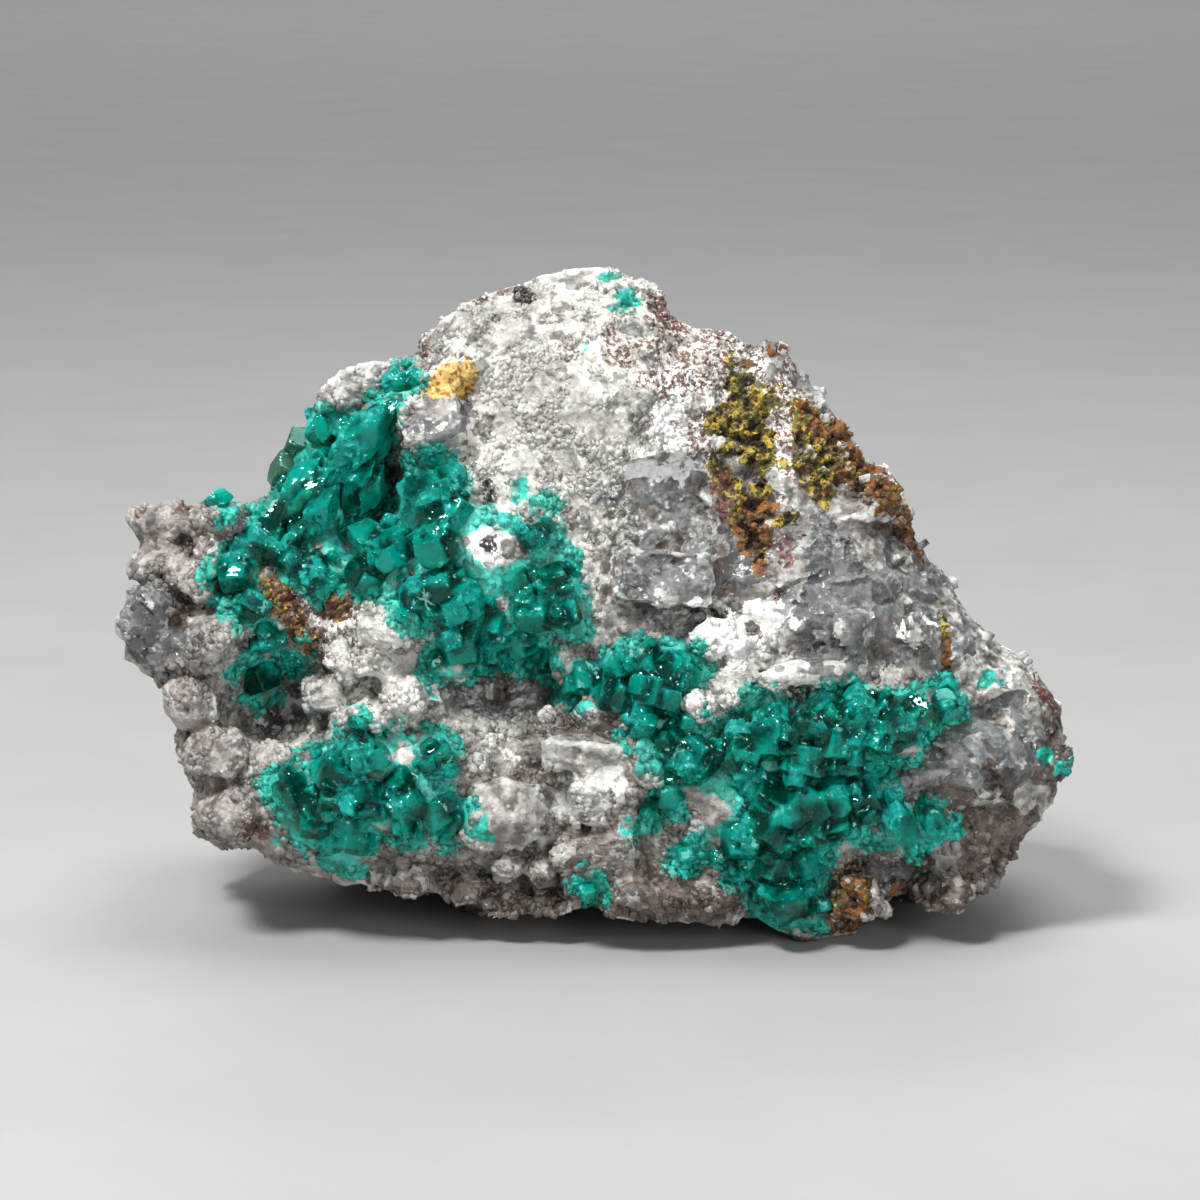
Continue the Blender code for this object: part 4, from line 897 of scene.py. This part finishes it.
# The grains. The sugary druse is of calcite rhombs and quartz grains under a millimetre across that
# grew on the rock, and the crumbs broke from its iron crust and its base. Each sits in the surface.
def joined(name, template, placements):
    """One mesh that holds a copy of the template at each 4x4 placement."""
    shape, faces = template
    placements = np.array(placements)
    points = np.einsum("nij,vj->nvi", placements[:, :3, :3], shape) + placements[:, None, :3, 3]
    sizes = np.array([len(face) for face in faces])
    corners = np.concatenate([np.array(face) for face in faces])
    loops = (corners[None, :] + np.arange(len(placements))[:, None] * len(shape)).ravel()
    mesh = bpy.data.meshes.new(name)
    mesh.vertices.add(points.shape[0] * points.shape[1])
    mesh.vertices.foreach_set("co", points.astype(np.float32).ravel())
    all_sizes = np.tile(sizes, len(placements))
    starts = np.concatenate([[0], np.cumsum(all_sizes)[:-1]])
    mesh.loops.add(len(loops))
    mesh.loops.foreach_set("vertex_index", loops.astype(np.int32))
    mesh.polygons.add(len(all_sizes))
    mesh.polygons.foreach_set("loop_start", starts.astype(np.int32))
    mesh.update(calc_edges=True)
    mesh.validate()
    return mesh


def template_of(bm):
    """The points of a mesh and each face's corners, for joined to copy."""
    bmesh.ops.recalc_face_normals(bm, faces=bm.faces[:])
    bm.verts.index_update()
    shape = np.array([tuple(vert.co) for vert in bm.verts])
    faces = [[vert.index for vert in face.verts] for face in bm.faces]
    bm.free()
    return shape, faces


# A rhomb is a leaning cube, and a crumb a lumpy ball. Both are 1 across.
RHOMB_LEAN = (0.26, 0.15)
bm = bmesh.new()
bmesh.ops.create_cube(bm, size=1)
for vert in bm.verts:
    vert.co.x += vert.co.z * RHOMB_LEAN[0]
    vert.co.y += vert.co.z * RHOMB_LEAN[1]
RHOMB = template_of(bm)
bm = bmesh.new()
bmesh.ops.create_icosphere(bm, subdivisions=1, radius=0.5)
for vert in bm.verts:
    vert.co *= 1 + 0.5 * noise.noise(vert.co * 7)
CRUMB = template_of(bm)

triangle_corners = np.array([face.vertices[:] for face in rock_piece.data.polygons])
corner_points = points[triangle_corners]
sides = corner_points[:, 1:] - corner_points[:, :1]
face_normals = np.cross(sides[:, 0], sides[:, 1])
face_areas = np.linalg.norm(face_normals, axis=1) / 2
face_normals /= face_areas[:, None] * 2
face_a, face_b = seen(corner_points.mean(1))
face_front = front[triangle_corners].mean(1)


def grown_grains(name, template, count, share, small, large, seed):
    """Sets count grains on the rock where share is above 0, from small to large mm across."""
    dice = np.random.default_rng(seed)
    chances = face_areas * np.clip(share, 0, 1)
    faces = dice.choice(len(chances), count, p=chances / chances.sum())
    weights = dice.dirichlet((1, 1, 1), count)
    at = (corner_points[faces] * weights[:, :, None]).sum(1)
    sizes = (small + (large - small) * dice.random(count) ** 2.2) * MM
    placements = []
    for spot, normal, size in zip(at, face_normals[faces], sizes):
        lean = noise.noise_vector(Vector(spot) / (3 * MM)) * 0.9 + Vector(dice.normal(0, 0.25, 3))
        axis = (Vector(normal) + lean).normalized()
        turned = axis.to_track_quat("Z", "Y").to_matrix().to_4x4()
        turned = turned @ Matrix.Rotation(dice.random() * 6.3, 4, "Z")
        shape = (size, size * dice.uniform(0.6, 1.1), size * dice.uniform(0.6, 1.3), 1)
        sunk = Matrix.Translation(Vector(spot) + Vector(normal) * size * -0.2)
        placements.append(sunk @ turned @ Matrix.Diagonal(shape))
    mesh = joined(name, template, placements)
    shared = noises(at)
    shared["patch"] = (shared["patch"] + dice.random(count)) / 2
    grain_points, _ = arrays_of(mesh)
    grain_points = held_in_box(grain_points)
    mesh.vertices.foreach_set("co", grain_points.astype(np.float32).ravel())
    each = len(template[0])
    forms = [
        np.repeat(values[triangle_corners].mean(1)[faces], each)
        for values in (front, cavity, hollow)
    ]
    shared = {kind: np.repeat(values, each) for kind, values in shared.items()}
    paint(mesh, np.repeat(at, each, axis=0), shared, *forms)
    mesh.materials.append(stone)
    piece = new_object(name, mesh)
    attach(piece, "root")


clumps = np.array([noise.noise(Vector(spot) / (2.6 * MM)) for spot in corner_points.mean(1)])
sugar = smooth_step(nearness(face_a, face_b, SUGAR), -0.1, 0.2) * face_front
spar = smooth_step(nearness(face_a, face_b, SPAR), -0.1, 0.1) * face_front
iron = smooth_step(nearness(face_a, face_b, LIMONITE), -0.05, 0.1) * face_front
clear_of_green = smooth_step(green_field(face_a, face_b), -0.2, 0.5)
above = smooth_step(face_b, 40, 44)
sugar *= smooth_step(-nearness(face_a, face_b, SMOOTH), -0.2, 0.1)
druse = np.clip(sugar * (1 - spar) * (1 - iron) * clear_of_green * (0.25 + clumps * 2), 0, 1)
grown_grains("druse_of_the_dome", RHOMB, 6000, druse * above, 0.2, 0.65, 1)
grown_grains("druse_of_the_flank", RHOMB, 7500, druse * (1 - above), 0.25, 0.9, 2)
near_green = smooth_step(green_field(face_a, face_b), 1.6, 0.4) * clear_of_green * face_front
grown_grains("druse_by_the_crystals", RHOMB, 6000, near_green, 0.25, 0.9, 3)
grown_grains("iron_crumbs", CRUMB, 1400, iron, 0.2, 0.8, 4)
turned_away = smooth_step(face_normals @ np.array(AWAY), 0.1, 0.4)
grown_grains("grains_of_the_back", RHOMB, 7000, turned_away * clumps * 3, 0.25, 1.1, 6)
base = smooth_step(face_b, 12, 3) * face_front * clear_of_green
grown_grains("rubble_of_the_base", CRUMB, 1800, base * (0.3 + clumps * 2), 0.3, 1.4, 5)


# The crystals: dioptase, a clear emerald green copper silicate. They are stubby six-sided prisms
# that end in the three faces of a rhombohedron, grown side by side and into each other from the
# rock.
def crystal_template(cut, slope):
    """A prism of radius 1 from -1 to 1 along Z, with both ends cut to three faces."""
    bm = bmesh.new()
    bmesh.ops.create_cone(bm, cap_ends=True, segments=6, radius1=1, radius2=1, depth=2)
    across, along = math.sin(math.radians(slope)), math.cos(math.radians(slope))
    for end, turns in ((1, (0, 120, 240)), (-1, (60, 180, 300))):
        for turn in turns:
            bearing = math.radians(turn)
            normal = (math.cos(bearing) * across, math.sin(bearing) * across, along * end)
            made = bmesh.ops.bisect_plane(
                bm, geom=bm.verts[:] + bm.edges[:] + bm.faces[:], plane_co=(0, 0, end * (1 - cut)),
                plane_no=normal, clear_outer=True,
            )
            rim = [item for item in made["geom_cut"] if isinstance(item, bmesh.types.BMEdge)]
            bmesh.ops.edgeloop_fill(bm, edges=rim)
    return template_of(bm)


CRYSTAL = crystal_template(0.22, 44)


def placement(at, axis, radius, half_length, spin):
    turned = axis.to_track_quat("Z", "Y").to_matrix().to_4x4() @ Matrix.Rotation(spin, 4, "Z")
    return Matrix.Translation(at) @ turned @ Matrix.Diagonal((radius, radius, half_length, 1))


def meets_rock(a, b):
    """Where the eye's line through (a, b) meets the rock, and the way the rock faces there."""
    hit, normal, _, _ = rock_surface.ray_cast(EYE, (on_plane(a, b) - EYE).normalized())
    return (hit, normal) if hit else (on_sight_line(a, b, 1.0), -AWAY)


# Over LONG mm a crystal stands clear of the others, with none grown on its sides. A mass of under
# FEW crystals has no small ones between them.
LONG, FEW = 6.5, 3
CRYSTAL_VOXEL, KEPT_SHARE = 0.2 * MM, 0.55
BATCH = 4000
# Long striated blades along the crest: both ends as (a, b), and the radius.
BLADES = [
    ((-32.0, 41.2), (-25.8, 48.6), 1.7), ((-29.4, 43.2), (-21.4, 53.4), 1.6),
    ((-26.0, 45.4), (-19.2, 56.0), 1.5), ((-24.6, 42.6), (-21.6, 49.4), 1.4),
]


def cluster(name, crystals, seed):
    """A mass of crystals grown into one body, with the shade, edge and roughness of each point."""
    chance = random.Random(seed)
    placements, middles, shades, borders = [], [], [], []
    for a, b, radius, length, points, towards in crystals:
        for gap_a, gap_b, gap in GAPS:
            away = math.hypot(a - gap_a, b - gap_b)
            if away < gap + radius * 1.1:
                push = (gap + radius * 1.1) / max(away, 0.1)
                a, b = gap_a + (a - gap_a) * push, gap_b + (b - gap_b) * push
        hit, normal = meets_rock(a, b)
        bearing, lean = math.radians(points), math.radians(towards)
        axis = (RIGHT * math.cos(bearing) + UP * math.sin(bearing)) * math.cos(lean)
        axis -= AWAY * math.sin(lean)
        stand = min(1.5, radius * 0.8) + chance.uniform(-0.4, 0.6)
        if name == "dioptase_upper_left" and a < -18 and b > 41:
            stand -= 0.7
        if name == "dioptase_lower_right" and a > 12:
            stand += 0.9 if b > 17 else -0.3
        if length > LONG:
            stand += 1.8
        at = hit + (normal - AWAY * 1.5).normalized() * stand * MM - axis * length * 0.2 * MM
        spin, shade = chance.uniform(0, 1), chance.random()
        if length > LONG:
            shade = 0.1 if b < 20 else 0.7
        elif (a < -18 and b > 41) or (a < 12 and name == "dioptase_lower_right"):
            shade += 0.3
        elif a < -32:
            shade -= 0.4
        placements.append(placement(at, axis, radius * 0.98 * MM, length * 0.5 * MM, spin))
        middles.append(at + axis * length * 0.2 * MM)
        shades.append(shade)
        borders.append(0.3 if length > LONG else 1.0)
        side = axis.orthogonal().normalized()
        for _ in range(3 if radius > 1.3 and length < LONG and len(crystals) >= FEW else 0):
            turn = Matrix.Rotation(chance.uniform(0, 2 * math.pi), 3, axis)
            width = radius * chance.uniform(0.35, 0.7)
            off = turn @ side * (radius - width * chance.uniform(0.35, 0.9)) * MM
            tilt = Vector([chance.gauss(0, 0.05) for _ in range(3)])
            slid = axis * length * chance.uniform(-0.1, 0.12) * MM
            turned = (axis + tilt).normalized()
            half, twist = length * 0.46 * MM, spin + chance.gauss(0, 0.03)
            placements.append(placement(at + off + slid, turned, width * MM, half, twist))
            middles.append(at + off + slid)
            shades.append(shade + chance.gauss(0, 0.15))
            borders.append(1.0)
    spots = np.array([crystal[:3] for crystal in crystals if crystal[3] < LONG])
    for _ in range(len(crystals) * 2 if len(crystals) >= FEW else 0):
        at_a, at_b, radius = spots[chance.randrange(len(spots))]
        bearing, off = chance.uniform(0, 2 * math.pi), radius * chance.uniform(0.6, 1.05)
        a, b = at_a + off * math.cos(bearing), at_b + off * math.sin(bearing)
        if any(math.hypot(a - gap_a, b - gap_b) < gap for gap_a, gap_b, gap in GAPS):
            continue
        hit, normal = meets_rock(a, b)
        size = chance.uniform(0.45, 1.1) * MM
        lean = Vector([chance.gauss(0, 0.45) for _ in range(3)])
        axis = (normal - AWAY * 0.6 + lean).normalized()
        at = hit + (normal - AWAY).normalized() * size * chance.uniform(0.0, 1.0)
        half, spin = size * chance.uniform(1.1, 1.7), chance.uniform(0, 1)
        placements.append(placement(at, axis, size, half, spin))
        middles.append(at)
        shades.append(chance.uniform(0.4, 1.3))
        borders.append(1.0)
    if name == "dioptase_upper_left":
        for start, end, radius in BLADES:
            first, second = meets_rock(*start)[0], meets_rock(*end)[0]
            axis = (second - first).normalized()
            for _ in range(3):
                off = Vector([chance.gauss(0, 0.6) for _ in range(3)]) * MM - AWAY * 1.9 * MM
                middle, half = (first + second) / 2 + off, (second - first).length / 2
                width = radius * chance.uniform(0.6, 1) * MM
                placements.append(placement(middle, axis, width, half, 0.2))
                middles.append(middle)
                shades.append(chance.uniform(0.7, 1.3))
                borders.append(0.6)
    piece = new_object(name.replace("dioptase", "crystals"), joined(name, CRYSTAL, placements))
    with_modifier(piece, "REMESH", mode="VOXEL", voxel_size=CRYSTAL_VOXEL)
    mesh = piece.data
    points, normals = arrays_of(mesh)
    middles, shades, borders = np.array(middles), np.array(shades), np.array(borders)
    rough = np.zeros(len(points))
    moved = points.copy()
    for i, point in enumerate(points):
        spot = Vector(point) - ORIGIN
        share = float(smooth_step(noise.noise(spot / (2.6 * MM)), 0.12, 0.32))
        share *= len(crystals) >= FEW
        rough[i] = share
        if share > 0:
            moved[i] += normals[i] * share * broken_facets(spot, 0.9, 0.8)
    mesh.vertices.foreach_set("co", held_in_box(moved).astype(np.float32).ravel())
    mesh.update()
    set_attribute(mesh, "rough", rough)
    with_modifier(piece, "DECIMATE", ratio=KEPT_SHARE, use_collapse_triangulate=True)
    mesh = piece.data
    points, normals = arrays_of(mesh)
    a, b = seen(points)
    nearest = np.zeros(len(points), int)
    for start in range(0, len(points), BATCH):
        part = points[start : start + BATCH]
        nearest[start : start + BATCH] = ((part[:, None, :] - middles) ** 2).sum(2).argmin(1)
    edge = smooth_step(green_field(a, b), -1.3, 0.7) * borders[nearest]
    for kind, values in noises(points).items():
        set_attribute(mesh, kind, values)
    set_attribute(mesh, "hollow", hollowness(mesh, points, normals, 10, 0.6))
    set_attribute(mesh, "shade", shades[nearest])
    set_attribute(mesh, "edge", edge)
    mesh.polygons.foreach_set("use_smooth", [True] * len(mesh.polygons))
    mesh.set_sharp_from_angle(angle=math.radians(18))
    return piece


CLEARNESS, DIOPTASE_IOR = 0.62, 1.66
SHINE, SHINE_TINT = 0.12, (0.50, 1.0, 0.95, 1)


def dioptase_material(name, deep, bright, sugary, absorb, density):
    """Clear stone: deep to bright inside the mass, darker in its hollows as painted shade, and
    sugary at its borders.
    """
    material, tree, shader, place = new_material(name)
    shade, edge, rough = (attribute(tree, kind) for kind in ("shade", "edge", "rough"))
    cloud, patch, sunk = (attribute(tree, kind) for kind in ("middle", "patch", "hollow"))
    fine = mottle(tree, place, 2.0, 2)
    # Painted shade: the tone darkens in the hollows between the crystals.
    tone = shade * 0.6 + (cloud - 0.5) + (fine - 0.5) * 0.7 + rough * patch * 0.4 - sunk * 1.3
    colour = mixed(tone.between(0.05, 1.15), deep, bright)
    border = edge + (cloud - 0.5) * 1.2 + (fine - 0.5) + (patch - 0.5) * 0.5
    border = border.between(0.45, 1.1)
    mixed(border * 0.85, colour, sugary).put(shader.inputs["Base Color"])
    frosted = 0.05 + fine.between(0.45, 0.7) * 0.15 + border * 0.25 + rough * 0.08
    frosted.put(shader.inputs["Roughness"])
    shader.inputs["Transmission Weight"].default_value = CLEARNESS
    shader.inputs["IOR"].default_value = DIOPTASE_IOR
    shader.inputs["Specular IOR Level"].default_value = SHINE
    shader.inputs["Specular Tint"].default_value = SHINE_TINT
    grain = flats(place, cells(tree, place, 0.5)) * (rough * 1.3 + edge * 0.5).clamped()
    grain = grain + mottle(tree, place, 1.0, 1) * 0.12
    bump = make(tree, "ShaderNodeBump", {}, {"Height": grain, "Strength": 0.8, "Distance": MM})
    bump.put(shader.inputs["Normal"])
    volume = tree.nodes.new("ShaderNodeVolumeAbsorption")
    volume.inputs["Color"].default_value = (*absorb, 1)
    volume.inputs["Density"].default_value = density
    tree.links.new(volume.outputs[0], tree.nodes["Material Output"].inputs["Volume"])
    return material


# Deep, bright and sugary colours, then the tint and the density per metre of the absorption.
GREEN = (0.0, 0.060, 0.042), (0.0, 0.57, 0.45), (0.02, 0.74, 0.66), (0.0, 0.86, 0.70), 2200
SMOKY = (0.02, 0.09, 0.05), (0.10, 0.30, 0.20), (0.2, 0.5, 0.4), (0.3, 0.6, 0.4), 400
green, smoky = dioptase_material("dioptase", *GREEN), dioptase_material("smoky dioptase", *SMOKY)
for seed, (name, crystals) in enumerate(CLUSTERS.items()):
    piece = cluster(name, crystals, seed)
    piece.data.materials.clear()
    piece.data.materials.append(smoky if name == "dioptase_smoky" else green)
    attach(piece, "root")
    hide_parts(name)
    "smoky_dioptase" if name == "dioptase_smoky" else "dioptase"

# The table top: a plain pale matt board, lit softly by a window on the upper left, by the ceiling
# and by the room. The camera stands at the eye.
TABLE_PALE = (0.345, 0.34, 0.335), (0.42, 0.415, 0.41)
ROOM_TINT, ROOM_STRENGTH = (0.80, 0.88, 0.90, 1), 0.21
VIEW_WIDTH = 0.120
bpy.ops.mesh.primitive_plane_add(size=6, location=(0, 1.5, -0.0001))
floor = bpy.context.object
floor.name = "table_top"
material, tree, shader, place = new_material("table top")
cloud = mottle(tree, place, 0.03, 6)
mixed(cloud, *TABLE_PALE).put(shader.inputs["Base Color"])
shader.inputs["Roughness"].default_value = 0.7
floor.data.materials.append(material)

world = bpy.data.worlds.new("room")
bpy.context.scene.world = world
world.use_nodes = True
background = world.node_tree.nodes["Background"]
background.inputs["Color"].default_value = ROOM_TINT
background.inputs["Strength"].default_value = ROOM_STRENGTH


def softbox(name, place, size, power, tint):
    light = bpy.data.lights.new(name, "AREA")
    light.shape, light.size, light.energy, light.color = "SQUARE", size, power, tint
    obj = bpy.data.objects.new(name, light)
    bpy.context.collection.objects.link(obj)
    obj.location = place
    aim = Vector((0, 0, 0.03)) - obj.location
    obj.rotation_euler = aim.to_track_quat("-Z", "Y").to_euler()


softbox("window", (-0.24, -0.30, 0.56), 0.16, 5.3, (1.0, 0.98, 0.95))
softbox("ceiling", (0.12, 0.10, 0.7), 0.4, 2.4, (0.95, 0.98, 1.0))
softbox("far floor", (0.0, 2.4, 1.5), 2.0, 24.0, (1.0, 1.0, 1.0))
softbox("front fill", (0.35, -0.7, 0.25), 0.3, 2.2, (1.0, 1.0, 1.0))

camera = bpy.data.objects.new("camera", bpy.data.cameras.new("camera"))
bpy.context.collection.objects.link(camera)
camera.location = EYE
camera.rotation_euler = AWAY.to_track_quat("-Z", "Y").to_euler()
camera.data.sensor_width = 36
camera.data.lens = camera.data.sensor_width * EYE_DISTANCE / VIEW_WIDTH
camera.data.clip_start, camera.data.clip_end = 0.01, 20
bpy.context.scene.camera = camera
bpy.context.scene.view_settings.view_transform = "Standard"
